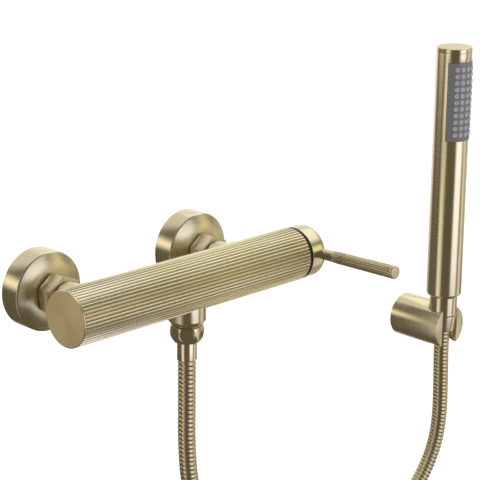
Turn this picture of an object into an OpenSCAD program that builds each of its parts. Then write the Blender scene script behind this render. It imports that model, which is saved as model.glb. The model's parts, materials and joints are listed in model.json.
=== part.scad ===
// Wall-mounted shower mixer: a fluted bar with a lever on its end, two wall unions,
// a pencil handset in a wall bracket, and the hose between them.
// Millimetres. X runs along the bar towards the lever, -Y points out of the wall, Z is up.
// The origin lies on the wall, midway between the two wall studs.

/* [Bar] */
// Diameter over the flutes
bar_d = 42; // [41:0.1:44]
// Length of the bar to the left of the middle of the inlets
bar_left = 107; // [100:0.5:130]
// Length of the bar to the right of the middle of the inlets
bar_right = 122.2; // [120.6:0.1:138]
// Distance from the wall to the axis of the bar
bar_out = 73.4; // [72:0.1:80]
// Number of flutes round the bar
flute_count = 50; // [40:1:60]
// Depth of a flute
flute_depth = 0.75; // [0.4:0.05:1]
// Thickness of the plain cap on the left end
end_cap_t = 1.2; // [1:0.1:4]
// Diameter of a water way inside the bar
gallery_d = 7.2; // [6:0.1:7.4]

/* [Inlets] */
// Distance between the two wall studs
inlet_spacing = 150; // [148:0.5:152]
// Height of the bar above the studs, taken up by the eccentric unions
union_rise = 5; // [3:0.5:7]
// Diameter of the wall stud
stud_d = 20.956; // [20.8:0.001:21]
// Length of the stud inside the wall
stud_l = 15; // [12:0.5:20]
// Bore of the stud
stud_bore_d = 14; // [12:0.5:15]
// Diameter of the thread that the union nut grips, at its pitch line
union_d = 25.2; // [25:0.1:25.4]
// Bore of the union
union_bore_d = 16; // [14:0.5:17]
// Diameter of a wall rose
rose_d = 60; // [58:0.5:66]
// Depth of the side of a wall rose
rose_side = 17.3; // [16:0.1:18]
// Height of the dome on the face of a wall rose
rose_dome = 4.6; // [3:0.1:4.8]
// Wall thickness of a rose
rose_wall = 1.2; // [0.8:0.1:2]
// Union nut across its flats
nut_af = 28; // [27.5:0.1:30]
// Length of a union nut
nut_l = 13; // [11:0.1:13.5]
// Diameter of the stub that joins the bar to a nut
stub_d = 25; // [24:0.1:26]

/* [Valve] */
// Diameter of the cartridge
cartridge_d = 25; // [24.6:0.1:25.2]
// Tilt of the lever from shut to full flow, in degrees
lever_tilt = 18; // [14:1:18]
// Radius of the ball that moves the disc
ball_r = 2.4; // [2.2:0.1:2.4]
// Radius of the stem
stem_r = 3.2; // [3:0.1:3.3]
// Thickness of a ceramic disc
disc_t = 2.4; // [2:0.1:2.6]

/* [Handle] */
// Gap between the bar and the cap of the handle
cap_gap = 2.7; // [2.4:0.1:3]
// Step from the bar down to the side of the cap
cap_step = 0.3; // [0:0.1:0.6]
// Length of the cylindrical side of the cap
cap_side = 10.4; // [10:0.1:12]
// Height of the rounded end of the cap
cap_end = 8.5; // [8.2:0.1:9.5]
// Distance from the axis of the bar to the tip of the lever
lever_reach = 92.5; // [80:0.5:110]
// Diameter of the lever at the cap
lever_root_d = 8.8; // [8:0.1:9.2]
// Diameter of the lever at the tip
lever_tip_d = 10.2; // [9.8:0.1:11]
// Angle of the lever above the level, in degrees
lever_rise = 1.2; // [0:0.1:3]
// Height of the lever's root above the axis of the bar
lever_lift = 0.5; // [0:0.1:1]
// Number of flutes round the lever
lever_flutes = 16; // [12:1:20]

/* [Outlet] */
// Place of the outlet along the bar
outlet_x = 9.75; // [0:0.25:20]
// Diameter of the boss under the bar
boss_d = 28.6; // [28:0.1:30]
// Depth of the boss below the axis of the bar
boss_drop = 31; // [30:0.1:32]
// Diameter of the outlet and handset threads, at their pitch line
half_inch_d = 19.8; // [19.6:0.1:20]
// Diameter of the ball-shaped hose nut
ball_nut_d = 25.7; // [25:0.1:27]
// Hose nut across its flats
ball_nut_af = 22.6; // [22:0.1:23]

/* [Hose] */
// Outside diameter of the hose over its ribs
hose_d = 14; // [13:0.1:14.2]
// Bore of the hose
hose_bore_d = 9.2; // [9:0.1:10]
// Diameter of the waterway in the fittings
insert_bore_d = 6; // [5:0.1:6.4]
// Length of the plain ferrule under the hose nut
ferrule_l = 15; // [13:0.5:16]
// Diameter of the ferrule
ferrule_d = 15; // [14:0.1:16]
// Depth of the valleys between the ribs
rib_depth = 0.8; // [0.4:0.1:1.2]

/* [Handset] */
// Distance of the handset from the middle of the inlets, along the bar
handset_x = 352.8; // [330:0.2:380]
// Distance of the handset from the wall
handset_out = 44.9; // [42:0.1:48]
// Diameter of the handset
handset_d = 31; // [30:0.1:33]
// Wall thickness of the handset
handset_wall = 1.5; // [1:0.1:1.6]
// Length of the handset with its top cap
handset_l = 224; // [215:0.2:260]
// Depth of the top cap
top_cap_l = 4; // [3:0.1:6]
// Diameter of the neck under the handset
neck_d = 24.5; // [24:0.1:25]
// Length of the neck
neck_l = 17.6; // [17:0.1:20]
// Length of the cone nut under the neck
cone_l = 14.6; // [14:0.1:16]
// Diameter of the cone nut at its lower end
cone_low_d = 21.9; // [21.6:0.1:22.4]
// Distance from the top of the handset to the spray plate
spray_top = 11.9; // [10:0.1:16]
// Height of the spray plate
spray_l = 68.7; // [60:0.1:72]
// Part of the tube that the spray plate wraps, in degrees
spray_wrap = 139; // [130:1:150]
// Nozzles in one column
nozzle_rows = 11; // [8:1:12]
// Columns of nozzles
nozzle_columns = 5; // [3:2:5]
// Diameter of a nozzle
nozzle_d = 4; // [3:0.1:4.2]

/* [Bracket] */
// Diameter of the bracket
bracket_d = 38.6; // [38:0.1:42]
// Depth of the middle of the bracket below the axis of the bar
bracket_drop = 120.8; // [110:0.2:130]
// Distance from the seat to the front of the bracket
bracket_lip = 8.4; // [7:0.1:10]
// Width of the slot that lets the hose in
slot_w = 20.6; // [19:0.1:21]
// Diameter of the wall screw that holds the bracket's disc
screw_d = 4.4; // [4:0.1:5]

/* [Clearances] */
// Radial clearance of a pin, a thread or a sliding fit
fit_gap = 0.05; // [0.03:0.01:0.08]
// Clearance between the handset and its seat, and round the handle
seat_gap = 0.3; // [0.25:0.05:0.4]

/* [Hidden] */
$fn = 64;

brushed_gold = [0.72, 0.65, 0.46];
gold_dark = [0.55, 0.48, 0.32];
brass = [0.76, 0.62, 0.32];
steel = [0.72, 0.73, 0.74];
ceramic = [0.9, 0.9, 0.88];
white_plastic = [0.88, 0.88, 0.86];
black_plastic = [0.08, 0.08, 0.08];
black_rubber = [0.12, 0.12, 0.12];
grey_silicone = [0.42, 0.42, 0.43];
pale_silicone = [0.75, 0.76, 0.78];

bar_r = bar_d / 2;
bar_z = union_rise;
gallery_r = gallery_d / 2;
stub_l = 36.6;
stub_end = bar_out - stub_l;
stub_r = stub_d / 2;

// Spigot of the left end cap and its seal, as places along the bar
end_spigot_r = 8;
end_spigot_l = 7;
seal_w = 0.9;
seal_x = -bar_left + end_cap_t + 3.5;

// Stack of the inlets, as distances from the wall
union_disc_out = 8;
union_out = 27.4;
washer_t = 2;
flange_t = 2;
nut_back = 22.9;
nut_front = nut_back + nut_l;
tail_flange_out = union_out + washer_t;
nut_lip_out = tail_flange_out + flange_t + fit_gap * 2;
union_r = union_d / 2;
tail_r = 9.5;
tail_engage = 11.2;
tail_end = stub_end + tail_engage;
tail_bore_r = 6.6;
flange_r = union_r - 0.6;
inlet_bore_r = 5.5;
valve_back = union_out + washer_t + flange_t + 1.6;
valve_front = tail_end - 1;
seat_t = 2;
poppet_t = 1.5;
poppet_r = 4.6;
poppet_stem_r = 1.2;
poppet_travel = 2.5;
spider_t = 1.5;
spring_wire_r = 0.35;
spring_r = 2.2;
spring_turns = 5;

// Cartridge, as places along the bar; every place follows the right end of the bar
pivot_depth = 12.2;
pivot_x = bar_right - pivot_depth;
chamber_x = pivot_x - 18;
base_x = chamber_x + 0.3;
disc_x = base_x + 4;
moving_x = disc_x + disc_t + fit_gap;
carrier_x = moving_x + disc_t;
ball_x = carrier_x + ball_r + fit_gap;
ball_arm = pivot_x - ball_x;
disc_travel = ball_arm * sin(lever_tilt);
cartridge_r = cartridge_d / 2;
cartridge_wall = 2.2;
housing_bore_r = cartridge_r - cartridge_wall;
guide_r = housing_bore_r - 2 * fit_gap;
carrier_bore_r = ball_r + 2 * fit_gap;
carrier_half = 5;
carrier_end_x = ball_x + ball_r;
disc_r = guide_r - disc_travel - 0.9;
guide_x = carrier_x + 0.3;
guide_end_x = pivot_x + 3;
guide_slot_half = stem_r + 2 * fit_gap;
housing_lip_x = guide_end_x + 0.3;
housing_end_x = housing_lip_x + 1.7;
housing_mouth_r = 8.6;
nut_thread_r = 14;
cartridge_nut_end_x = housing_end_x + 5.4;
neck_r = 1.6;
pin_r = 1.2;
port_y = 7.2;
port_z = 3;
mixed_z = 7.9;
port_r = 3.2;

// Handle: the underside of the cap is a sphere round the pivot, so its gap stays even
cap_x = bar_right + cap_gap;
cap_r = bar_r - cap_step;
cap_sphere_r = norm([cap_x - pivot_x, cap_r]);
dome_r = cap_sphere_r - seat_gap;
dome_wall = 1.2;
dome_mouth_r = 11.2;
dome_rim_r = bar_r - flute_depth - 0.1;
cap_side_end = cap_x + cap_side;
cap_end_x = cap_side_end + cap_end;
cap_shoulder = 8;
lever_from_end = 5.8;
lever_x = cap_end_x - lever_from_end;
lever_seat = 4.4;
lever_root = cap_r - lever_seat;
lever_step = 0.3;
lever_neck_end = 31;
lever_screw_r = 1.9;
lever_screw_in = 5;
lever_chamfer = 0.4;
cap_roof = 2.2;
stem_end_x = cap_end_x - cap_roof;
socket_end_x = stem_end_x + 0.2;
grub_r = 1.5;

// Outlet and hose nut, as heights below the axis of the bar
half_inch_r = half_inch_d / 2;
nipple_r = 8.5;
nipple_bore_r = 5.5;
nipple_up = boss_drop - 9;
outlet_bore_r = 6;
ball_nut_r = ball_nut_d / 2;
ball_nut_mid = boss_drop + 4.7;
ball_nut_top = boss_drop + 0.3;
ball_nut_low = boss_drop + 12.9;
nipple_low = boss_drop + 6.6;
hose_collar_t = 1.8;
hose_collar_r = half_inch_r - 0.7;
hose_collar_low = nipple_low + washer_t + hose_collar_t;
hose_neck_r = 5.9;
spigot_r = 4;
insert_bore_r = insert_bore_d / 2;
ferrule_top = ball_nut_low + 0.1;
ferrule_low = ferrule_top + ferrule_l;
spigot_reach = 8;
flat_turn = 229.5;
ferrule_r = ferrule_d / 2;

// Bracket and handset, as heights above the axis of the bar
bracket_r = bracket_d / 2;
neck_r_out = neck_d / 2;
cone_low_r = cone_low_d / 2;
seat_rise = 10.8;
cone_top = -bracket_drop + seat_rise;
cone_low = cone_top - cone_l;
neck_top = cone_top + neck_l;
handset_r = handset_d / 2;
handset_in_r = handset_r - handset_wall;
handset_top = neck_top + handset_l;
tube_top = handset_top - top_cap_l;
tube_bevel_w = 2.2;
tube_bevel_l = 2.8;
tube_edge_w = 1.3;
tube_edge_l = tube_bevel_l * tube_edge_w / tube_bevel_w;
tube_low = neck_top + tube_bevel_l - tube_edge_l;
neck_thread_l = 10;
seal_z = neck_top + 6;
neck_bore_r = 5;
male_low = cone_top - 9.2;
collar_low = male_low - washer_t - hose_collar_t;
cone_neck_r = 7;
insert_low = cone_low - 0.4;
spray_high = handset_top - spray_top;
spray_low = spray_high - spray_l;
spray_out_r = handset_r + 0.5;
mat_in_r = handset_in_r - 1.8;
mat_out_r = handset_in_r - 0.8;
manifold_r = mat_in_r - 0.1;
manifold_wall = 1.5;
manifold_edge_a = 10;
nozzle_pitch_z = 5.7;
nozzle_pitch_a = 19.7;
nozzle_r = nozzle_d / 2;
nozzle_hole_r = 0.4;
nozzle_proud = 0.5;
water_tube_r = 6;
seat_top_r = neck_r_out + seat_gap + fit_gap;
seat_low_r = cone_low_r + seat_gap;
bracket_front = handset_out + bracket_lip;
cavity_r = bracket_r - 5.2;
cavity_out = 20;
disc_out = 10;
disc_fit_r = cavity_r - fit_gap;
screw_r = screw_d / 2;
screw_head_r = 4.2;
screw_head_l = 2.6;
bracket_grub_out = 6;
bracket_grub_r = 2;

// Hose route. The points are chosen by hand, in the frame of the origin.
hose_r = hose_d / 2;
hose_bore_r = hose_bore_d / 2;
hose_exit = [outlet_x, -bar_out, bar_z - ferrule_low];
hose_end = [handset_x, -handset_out, bar_z + insert_low];
coil_r = 70;
coil_turns = 2.5;
coil_pitch = 15;
coil_centre = [181, -60, -385];
coil_rings = 24;
coil_slope = atan2(coil_pitch, 360 * coil_r * PI / 180);
coil_start = coil_centre + [-coil_r, -coil_turns / 2 * coil_pitch, 0];
coil_finish = coil_centre + [coil_r, coil_turns / 2 * coil_pitch, 0];
coil_in = [0, sin(coil_slope), -cos(coil_slope)];
coil_out = [0, sin(coil_slope), cos(coil_slope)];
mixer_points = [
    [9.75, -73.4, -75], [9.75, -73.4, -95], [9.8, -73.5, -118], [11.9, -73.9, -147.7],
    [18.2, -74.8, -174.7], [28.5, -75.8, -200.2], [42.7, -76.8, -224.1], [60.3, -77.7, -245.5],
    [78, -78.4, -266.9], [92.2, -78.9, -290.8], [102.4, -79.3, -316.3], [108.8, -79.6, -343.3]
];
handset_points = [
    [253.1, -40.3, -344.5], [259.7, -40.4, -325.2], [270.4, -40.9, -307.9], [284.7, -41.6, -293.4],
    [301.9, -42.4, -282.3], [318.9, -43.2, -271.3], [333.4, -43.9, -256.8], [344.6, -44.4, -239.5],
    [351.8, -44.7, -220.2], [354.4, -44.9, -198], [354, -44.9, -170], [353, -44.9, -145]
];
mixer_ribs = 101;
handset_ribs = 85;

// Frames in which the parts are drawn: z runs along the bar, out of the wall, or up
module along_bar() {
    translate([0, -bar_out, bar_z]) rotate([0, 90, 0]) children();
}
module out_of_wall(x, z) {
    translate([x, 0, z]) rotate([90, 0, 0]) children();
}
module under_bar() {
    translate([outlet_x, -bar_out, bar_z]) children();
}
module at_handset() {
    translate([handset_x, -handset_out, bar_z]) children();
}
module rod(r, from, to) {
    translate([0, 0, from]) cylinder(r = r, h = to - from);
}
module ring(r, bore, from, to) {
    difference() {
        rod(r, from, to);
        rod(bore, from - 1, to + 1);
    }
}
module o_ring(r, wire, at) {
    translate([0, 0, at]) rotate_extrude() translate([r, 0]) circle(r = wire, $fn = 24);
}
module both_inlets() {
    for (side = [-1, 1]) translate([side * inlet_spacing / 2, 0, 0]) children();
}

// Outline of a fluted rod: a flat land and a hollow groove for each flute
function flute_points(r, depth, count) = [
    for (i = [0:count - 1], p = [[-0.26, 0], [0.26, 0], [0.36, 0.6], [0.5, 1], [0.64, 0.6]])
        let (a = (i + p[0]) * 360 / count, s = r - depth * p[1]) [s * cos(a), s * sin(a)]
];

module fluted_body() {
    color(brushed_gold) difference() {
        union() {
            along_bar() translate([0, 0, -bar_left + end_cap_t])
                linear_extrude(bar_left + bar_right - end_cap_t)
                    polygon(flute_points(bar_r, flute_depth, flute_count));
            for (side = [-1, 1]) inlet_stub(side * inlet_spacing / 2);
            outlet_boss();
        }
        galleries();
        cartridge_chamber();
        for (side = [-1, 1]) out_of_wall(side * inlet_spacing / 2, bar_z)
            rod(tail_r + fit_gap, stub_end - 1, tail_end);
        under_bar() translate([0, 0, -boss_drop - 1])
            cylinder(r = nipple_r + fit_gap, h = boss_drop - nipple_up + 1);
        along_bar() rod(end_spigot_r + fit_gap, -bar_left, -bar_left + end_cap_t + end_spigot_l);
    }
}
module inlet_stub(x) {
    edge = 2;
    out_of_wall(x, bar_z) rotate_extrude() polygon([
        [0, stub_end], [stub_r - edge, stub_end],
        for (a = [0:15:90]) [stub_r - edge + edge * sin(a), stub_end + edge - edge * cos(a)],
        [stub_r, bar_out], [0, bar_out]
    ]);
}
module outlet_boss() {
    r = boss_d / 2;
    wide = 3;
    tall = 4.2;
    soft = 0.6;
    under_bar() rotate_extrude() polygon([
        [0, -boss_drop], [r - wide - soft, -boss_drop], [r - wide + soft / 2, -boss_drop + soft / 2],
        [r - soft / 2, -boss_drop + tall - soft / 2], [r, -boss_drop + tall + soft], [r, 0], [0, 0]
    ]);
}
// Hot runs along the front of the bar, cold enters beside the valve, mixed runs below
module galleries() {
    hot_x = -inlet_spacing / 2;
    cold_x = inlet_spacing / 2;
    along_bar() {
        translate([-port_z, -port_y, 0]) rod(gallery_r, hot_x, chamber_x + 1);
        translate([-port_z, port_y, 0]) rod(gallery_r, cold_x, chamber_x + 1);
        translate([mixed_z, 0, 0]) rod(gallery_r, outlet_x, chamber_x + 1);
        rod(end_spigot_r - 2, -bar_left, hot_x);
    }
    out_of_wall(hot_x, bar_z) rod(inlet_bore_r, tail_end - 1, bar_out + port_y);
    out_of_wall(cold_x, bar_z) rod(inlet_bore_r, tail_end - 1, bar_out - 4);
    under_bar() translate([0, 0, -nipple_up - 1])
        cylinder(r = outlet_bore_r, h = nipple_up - mixed_z + 1);
}
module cartridge_chamber() {
    along_bar() {
        rod(cartridge_r + fit_gap, chamber_x, bar_right + 1);
        rod(nut_thread_r + fit_gap, housing_end_x - 3, bar_right + 1);
    }
}

module end_cap() {
    bevel = 0.5;
    color(brushed_gold) along_bar() rotate_extrude() polygon([
        [0, -bar_left], [bar_r - bevel, -bar_left], [bar_r - 0.1, -bar_left + bevel],
        [bar_r - 0.1, -bar_left + end_cap_t], [end_spigot_r, -bar_left + end_cap_t],
        [end_spigot_r, seal_x - seal_w], [end_spigot_r - seal_w, seal_x - seal_w],
        [end_spigot_r - seal_w, seal_x + seal_w], [end_spigot_r, seal_x + seal_w],
        [end_spigot_r, -bar_left + end_cap_t + end_spigot_l - 0.5],
        [0, -bar_left + end_cap_t + end_spigot_l - 0.5]
    ]);
}
module end_cap_seal() {
    wire = seal_w / 2;
    color(black_rubber) along_bar() o_ring(end_spigot_r - wire, wire - fit_gap / 2, seal_x);
}

// The union steps up from the stud in the wall to the axis of the bar
module wall_union() {
    difference() {
        union() {
            translate([0, -union_rise, 0]) rod(stud_d / 2, -stud_l, 1);
            translate([0, -union_rise, 0]) rod(stud_d / 2 + 3, 0, union_disc_out);
            rod(union_r + 2.4, 0, union_disc_out);
            rod(union_r, union_disc_out - 1, union_out);
        }
        translate([0, -union_rise, 0]) rod(stud_bore_d / 2, -stud_l - 1, union_disc_out - 3);
        rod(union_bore_d / 2, union_disc_out - 4, union_out + 1);
    }
}
module wall_union_hot() {
    color(brass) out_of_wall(-inlet_spacing / 2, bar_z) wall_union();
}
module wall_union_cold() {
    color(brass) out_of_wall(inlet_spacing / 2, bar_z) wall_union();
}

module wall_rose() {
    r = rose_d / 2;
    face = rose_side + rose_dome;
    hole = union_r + fit_gap;
    lip = hole + 3;
    edge = 0.8;
    rotate_extrude($fn = 96) polygon([
        [r - rose_wall, 0], [r, 0], [r, rose_side - edge], [r - edge, rose_side],
        for (t = [0.2:0.2:0.8])
            [r - edge - (r - edge - lip) * t, rose_side + rose_dome * sin(90 * t)],
        [lip, face], [hole, face], [hole, face - 5], [lip, face - 5],
        [lip + 2, face - rose_wall - 2.2],
        [r - rose_wall - 3, rose_side - rose_wall], [r - rose_wall, rose_side - rose_wall - 2]
    ]);
}
module wall_rose_hot() {
    color(brushed_gold) out_of_wall(-inlet_spacing / 2, bar_z) wall_rose();
}
module wall_rose_cold() {
    color(brushed_gold) out_of_wall(inlet_spacing / 2, bar_z) wall_rose();
}

module union_nut() {
    corner_r = nut_af / 2 / cos(30);
    chamfer = 0.9;
    difference() {
        intersection() {
            rotate([0, 0, 97]) translate([0, 0, nut_back]) cylinder(r = corner_r, h = nut_l, $fn = 6);
            rotate_extrude() polygon([
                [0, nut_back], [corner_r - chamfer, nut_back], [corner_r + 0.1, nut_back + chamfer],
                [corner_r + 0.1, nut_front - chamfer], [corner_r - chamfer, nut_front], [0, nut_front]
            ]);
        }
        rod(union_r + fit_gap, nut_back - 1, nut_lip_out);
        rod(tail_r + 2 * fit_gap, nut_back, nut_front + 1);
    }
}
module union_nuts() {
    color(brushed_gold) both_inlets() out_of_wall(0, bar_z) union_nut();
}
module inlet_washers() {
    color(black_rubber) both_inlets() out_of_wall(0, bar_z)
        ring(flange_r, union_bore_d / 2, union_out, tail_flange_out);
}
module inlet_tails() {
    color(brass) both_inlets() out_of_wall(0, bar_z) difference() {
        union() {
            rod(flange_r, tail_flange_out, tail_flange_out + flange_t);
            rod(tail_r, tail_flange_out, tail_end);
        }
        rod(tail_bore_r, tail_flange_out - 1, tail_end + 1);
    }
}
module check_valve_bodies() {
    wall = 1;
    color(white_plastic) both_inlets() out_of_wall(0, bar_z) difference() {
        rod(tail_bore_r - fit_gap, valve_back, valve_front);
        rod(poppet_r - 1, valve_back - 1, valve_back + seat_t + 1);
        rod(tail_bore_r - wall, valve_back + seat_t, valve_front - spider_t);
        rod(poppet_stem_r + fit_gap, valve_back, valve_front + 1);
        for (a = [0:60:300]) rotate([0, 0, a]) translate([3.4, 0, 0])
            rod(1.3, valve_front - spider_t - 1, valve_front + 1);
    }
}
module check_poppet() {
    face = valve_back + seat_t + fit_gap;
    color(black_plastic) out_of_wall(0, bar_z) {
        rod(poppet_r, face, face + poppet_t);
        rod(poppet_stem_r, face, valve_front - 0.1);
    }
}
module check_poppet_hot() {
    translate([-inlet_spacing / 2, 0, 0]) check_poppet();
}
module check_poppet_cold() {
    translate([inlet_spacing / 2, 0, 0]) check_poppet();
}
// A wire helix from the poppet to the spider
module check_spring() {
    from = valve_back + seat_t + poppet_t + spring_wire_r + 0.15;
    to = valve_front - spider_t - spring_wire_r - 0.1;
    steps = spring_turns * 12;
    path = [for (i = [0:steps]) let (a = i * 30)
        [spring_r * cos(a), spring_r * sin(a), from + (to - from) * i / steps]];
    color(steel) out_of_wall(0, bar_z) sweep(path, spring_wire_r, 6, [0, 0, 1]);
}
module check_spring_hot() {
    translate([-inlet_spacing / 2, 0, 0]) check_spring();
}
module check_spring_cold() {
    translate([inlet_spacing / 2, 0, 0]) check_spring();
}

// Ports of the valve, seen along the bar: hot in front, cold behind, mixed below
module ports(r, from, to) {
    translate([-port_z, -port_y, 0]) rod(r, from, to);
    translate([-port_z, port_y, 0]) rod(r, from, to);
    translate([mixed_z, 0, 0]) rod(r, from, to);
}
module cartridge_base() {
    groove = port_r + 0.9;
    color(white_plastic) along_bar() difference() {
        rod(cartridge_r, base_x, disc_x);
        ports(port_r, base_x - 1, disc_x + 1);
        ports(groove, base_x - 1, base_x + 1.2);
    }
}
module cartridge_seals() {
    color(black_rubber) along_bar() difference() {
        ports(port_r + 0.85, chamber_x + fit_gap, base_x + 1.15);
        ports(port_r, chamber_x - 1, base_x + 2);
    }
}
module cartridge_housing() {
    color(white_plastic) along_bar() difference() {
        rod(cartridge_r, disc_x, housing_end_x);
        rod(housing_bore_r, disc_x - 1, housing_lip_x);
        rod(housing_mouth_r, disc_x, housing_end_x + 1);
    }
}
module fixed_disc() {
    color(ceramic) along_bar() difference() {
        rod(housing_bore_r - fit_gap, disc_x, disc_x + disc_t);
        intersection() {
            ports(port_r, disc_x - 1, disc_x + disc_t + 1);
            rod(housing_bore_r - 1.2, disc_x - 1, disc_x + disc_t + 1);
        }
    }
}
// A hollow in the underside of the disc joins the ports as it moves
module moving_disc() {
    color(ceramic) along_bar() difference() {
        rod(disc_r, moving_x, moving_x + disc_t);
        translate([1, disc_travel / 2, 0]) rod(disc_r - 3, moving_x - 1, moving_x + disc_t / 2);
    }
}
module disc_carrier() {
    color(white_plastic) along_bar() difference() {
        translate([-carrier_half, -carrier_half, carrier_x])
            cube([2 * carrier_half, 2 * carrier_half, carrier_end_x - carrier_x]);
        rod(carrier_bore_r, carrier_x - 1, carrier_end_x + 1);
    }
}
module stem_guide() {
    slot = disc_travel + carrier_half + 0.6;
    gap = 2 * fit_gap;
    color(black_plastic) along_bar() difference() {
        rod(guide_r, guide_x, guide_end_x);
        translate([-carrier_half - gap, -guide_r - 1, guide_x - 1])
            cube([2 * (carrier_half + gap), 2 * guide_r + 2, carrier_end_x - guide_x + 1.3]);
        translate([-guide_slot_half, -slot, guide_x])
            cube([2 * guide_slot_half, 2 * slot, guide_end_x - guide_x + 1]);
        translate([0, 0, pivot_x]) rotate([0, 90, 0])
            translate([0, 0, -guide_r - 1]) cylinder(r = pin_r, h = 2 * guide_r + 2);
    }
}
module pivot_pin() {
    half = guide_r - 0.4;
    color(steel) along_bar() translate([0, 0, pivot_x]) rotate([0, 90, 0])
        translate([0, 0, -half]) cylinder(r = pin_r, h = 2 * half);
}
module stem() {
    color(steel) along_bar() difference() {
        union() {
            translate([0, 0, ball_x]) sphere(r = ball_r, $fn = 48);
            rod(neck_r, ball_x, pivot_x - 2);
            rod(stem_r, pivot_x - 2.6, stem_end_x);
        }
        translate([0, 0, pivot_x]) rotate([0, 90, 0])
            translate([0, 0, -stem_r - 1]) cylinder(r = pin_r + fit_gap, h = 2 * stem_r + 2);
    }
}
module cartridge_nut() {
    bore = 9.6;
    key = 1.6;
    color(brass) along_bar() difference() {
        rod(nut_thread_r, housing_end_x, cartridge_nut_end_x);
        rod(bore, housing_end_x - 1, cartridge_nut_end_x + 1);
        for (a = [0:90:270]) rotate([0, 0, a]) translate([bore + 1, 0, 0])
            rod(key, cartridge_nut_end_x - 2, cartridge_nut_end_x + 1);
    }
}
// Points of an arc round the pivot, given as radius from the axis and place along the bar
function pivot_arc(r, from, to, steps) = [
    for (i = [0:steps]) let (a = from + (to - from) * i / steps) [r * sin(a), pivot_x + r * cos(a)]
];
module dome_cover() {
    inner = dome_r - dome_wall;
    flange_x = bar_right + 1;
    spigot = nut_thread_r;
    color(black_plastic) along_bar() rotate_extrude() polygon(concat(
        [[dome_rim_r, bar_right]],
        pivot_arc(dome_r, asin(dome_rim_r / dome_r), asin(dome_mouth_r / dome_r), 14),
        pivot_arc(inner, asin(dome_mouth_r / inner), acos((flange_x - pivot_x) / inner), 12),
        [[spigot - dome_wall, flange_x], [spigot - dome_wall, cartridge_nut_end_x + 0.3],
        [spigot, cartridge_nut_end_x + 0.3], [spigot, bar_right]]
    ));
}

module handle_cap() {
    under = pivot_arc(cap_sphere_r, asin(cap_r / cap_sphere_r), 0, 24);
    shoulder = cap_r - cap_shoulder;
    rise = cap_end - cap_shoulder;
    color(brushed_gold) along_bar() difference() {
        rotate_extrude($fn = 96) polygon(concat(
            under,
            [[0, cap_end_x]],
            [for (t = [0.2:0.2:0.8]) [shoulder * t, cap_end_x - rise * t * t]],
            [for (a = [0:11.25:90])
                [shoulder + cap_shoulder * sin(a), cap_side_end + cap_shoulder * cos(a)]]
        ));
        rod(stem_r + fit_gap, pivot_x, socket_end_x);
        lever_frame() {
            rod(lever_root_d / 2 + fit_gap, lever_root, cap_r + 5);
            rod(lever_screw_r + fit_gap, lever_screw_in - 0.5, lever_root + 1);
        }
        screw_frame() rod(grub_r + fit_gap, stem_r, cap_r + 1);
    }
}
// The lever points out of the wall, a little above the level; z runs along it
module lever_frame() {
    translate([-lever_lift, 0, lever_x]) rotate([0, 0, -lever_rise]) rotate([90, 0, 0]) children();
}
// The grub screw enters the cap from below
module screw_frame() {
    translate([0, 0, lever_x]) rotate([0, 90, 0]) children();
}
// The grip is a long cone, and its grooves follow its side
module lever() {
    root = lever_root_d / 2;
    tip = lever_tip_d / 2;
    groove = 0.42;
    grip_low = lever_neck_end + 0.4;
    grip_l = lever_reach - lever_chamfer - grip_low;
    slope = atan((tip - root - lever_step) / grip_l);
    color(brushed_gold) along_bar() lever_frame() difference() {
        union() {
            rotate_extrude() polygon([
                [0, lever_root], [root, lever_root], [root, lever_neck_end],
                [root + lever_step, grip_low],
                [tip, lever_reach - lever_chamfer], [tip - lever_chamfer, lever_reach],
                [0, lever_reach]
            ]);
            rod(lever_screw_r, lever_screw_in, lever_root + 0.5);
        }
        for (i = [0:lever_flutes - 1]) rotate([0, 0, i * 360 / lever_flutes])
            translate([root + lever_step + groove * 0.4, 0, grip_low]) rotate([0, slope, 0])
                cylinder(r = groove, h = grip_l - 0.4, $fn = 16);
    }
}
module handle_screw() {
    color(steel) along_bar() screw_frame() difference() {
        rod(grub_r, stem_r + 0.3, stem_r + 6.3);
        translate([0, 0, stem_r + 4.5]) cylinder(r = 0.9, h = 3, $fn = 6);
    }
}

module outlet_nipple() {
    color(brass) under_bar() difference() {
        union() {
            rod(nipple_r, -boss_drop, -nipple_up - 0.5);
            rod(half_inch_r, -nipple_low, -boss_drop);
        }
        rod(nipple_bore_r, -nipple_low - 1, 0);
    }
}
// A ball cut to a hexagon, so each flat is a round face
module ball_nut() {
    color(brushed_gold) under_bar() difference() {
        intersection() {
            translate([0, 0, -ball_nut_mid]) sphere(r = ball_nut_r, $fn = 64);
            translate([0, 0, -ball_nut_low]) rotate([0, 0, flat_turn + 30])
                cylinder(r = ball_nut_af / 2 / cos(30), h = ball_nut_low - ball_nut_top, $fn = 6);
        }
        rod(half_inch_r + fit_gap, -hose_collar_low - fit_gap, -ball_nut_top + 1);
        rod(hose_neck_r + 2 * fit_gap, -ball_nut_low - 1, -ball_nut_top);
    }
}
module hose_washer_mixer() {
    color(black_rubber) under_bar()
        ring(hose_collar_r, nipple_bore_r, -nipple_low - washer_t, -nipple_low);
}
module hose_insert_mixer() {
    collar_top = -nipple_low - washer_t;
    color(brass) under_bar() difference() {
        union() {
            rod(hose_collar_r, collar_top - hose_collar_t, collar_top);
            rod(hose_neck_r, -ferrule_top, collar_top);
            rod(spigot_r, -ferrule_low - spigot_reach, collar_top);
        }
        rod(insert_bore_r, -ferrule_low - spigot_reach - 1, collar_top + 1);
    }
}
module ferrule() {
    edge = 0.6;
    color(brushed_gold) under_bar() difference() {
        rotate_extrude() polygon([
            [0, -ferrule_low], [ferrule_r - edge, -ferrule_low], [ferrule_r, -ferrule_low + edge],
            [ferrule_r, -ferrule_top - edge], [ferrule_r - edge, -ferrule_top], [0, -ferrule_top]
        ]);
        rod(spigot_r + fit_gap, -ferrule_low - 1, -ferrule_top + 1);
    }
}

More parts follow.
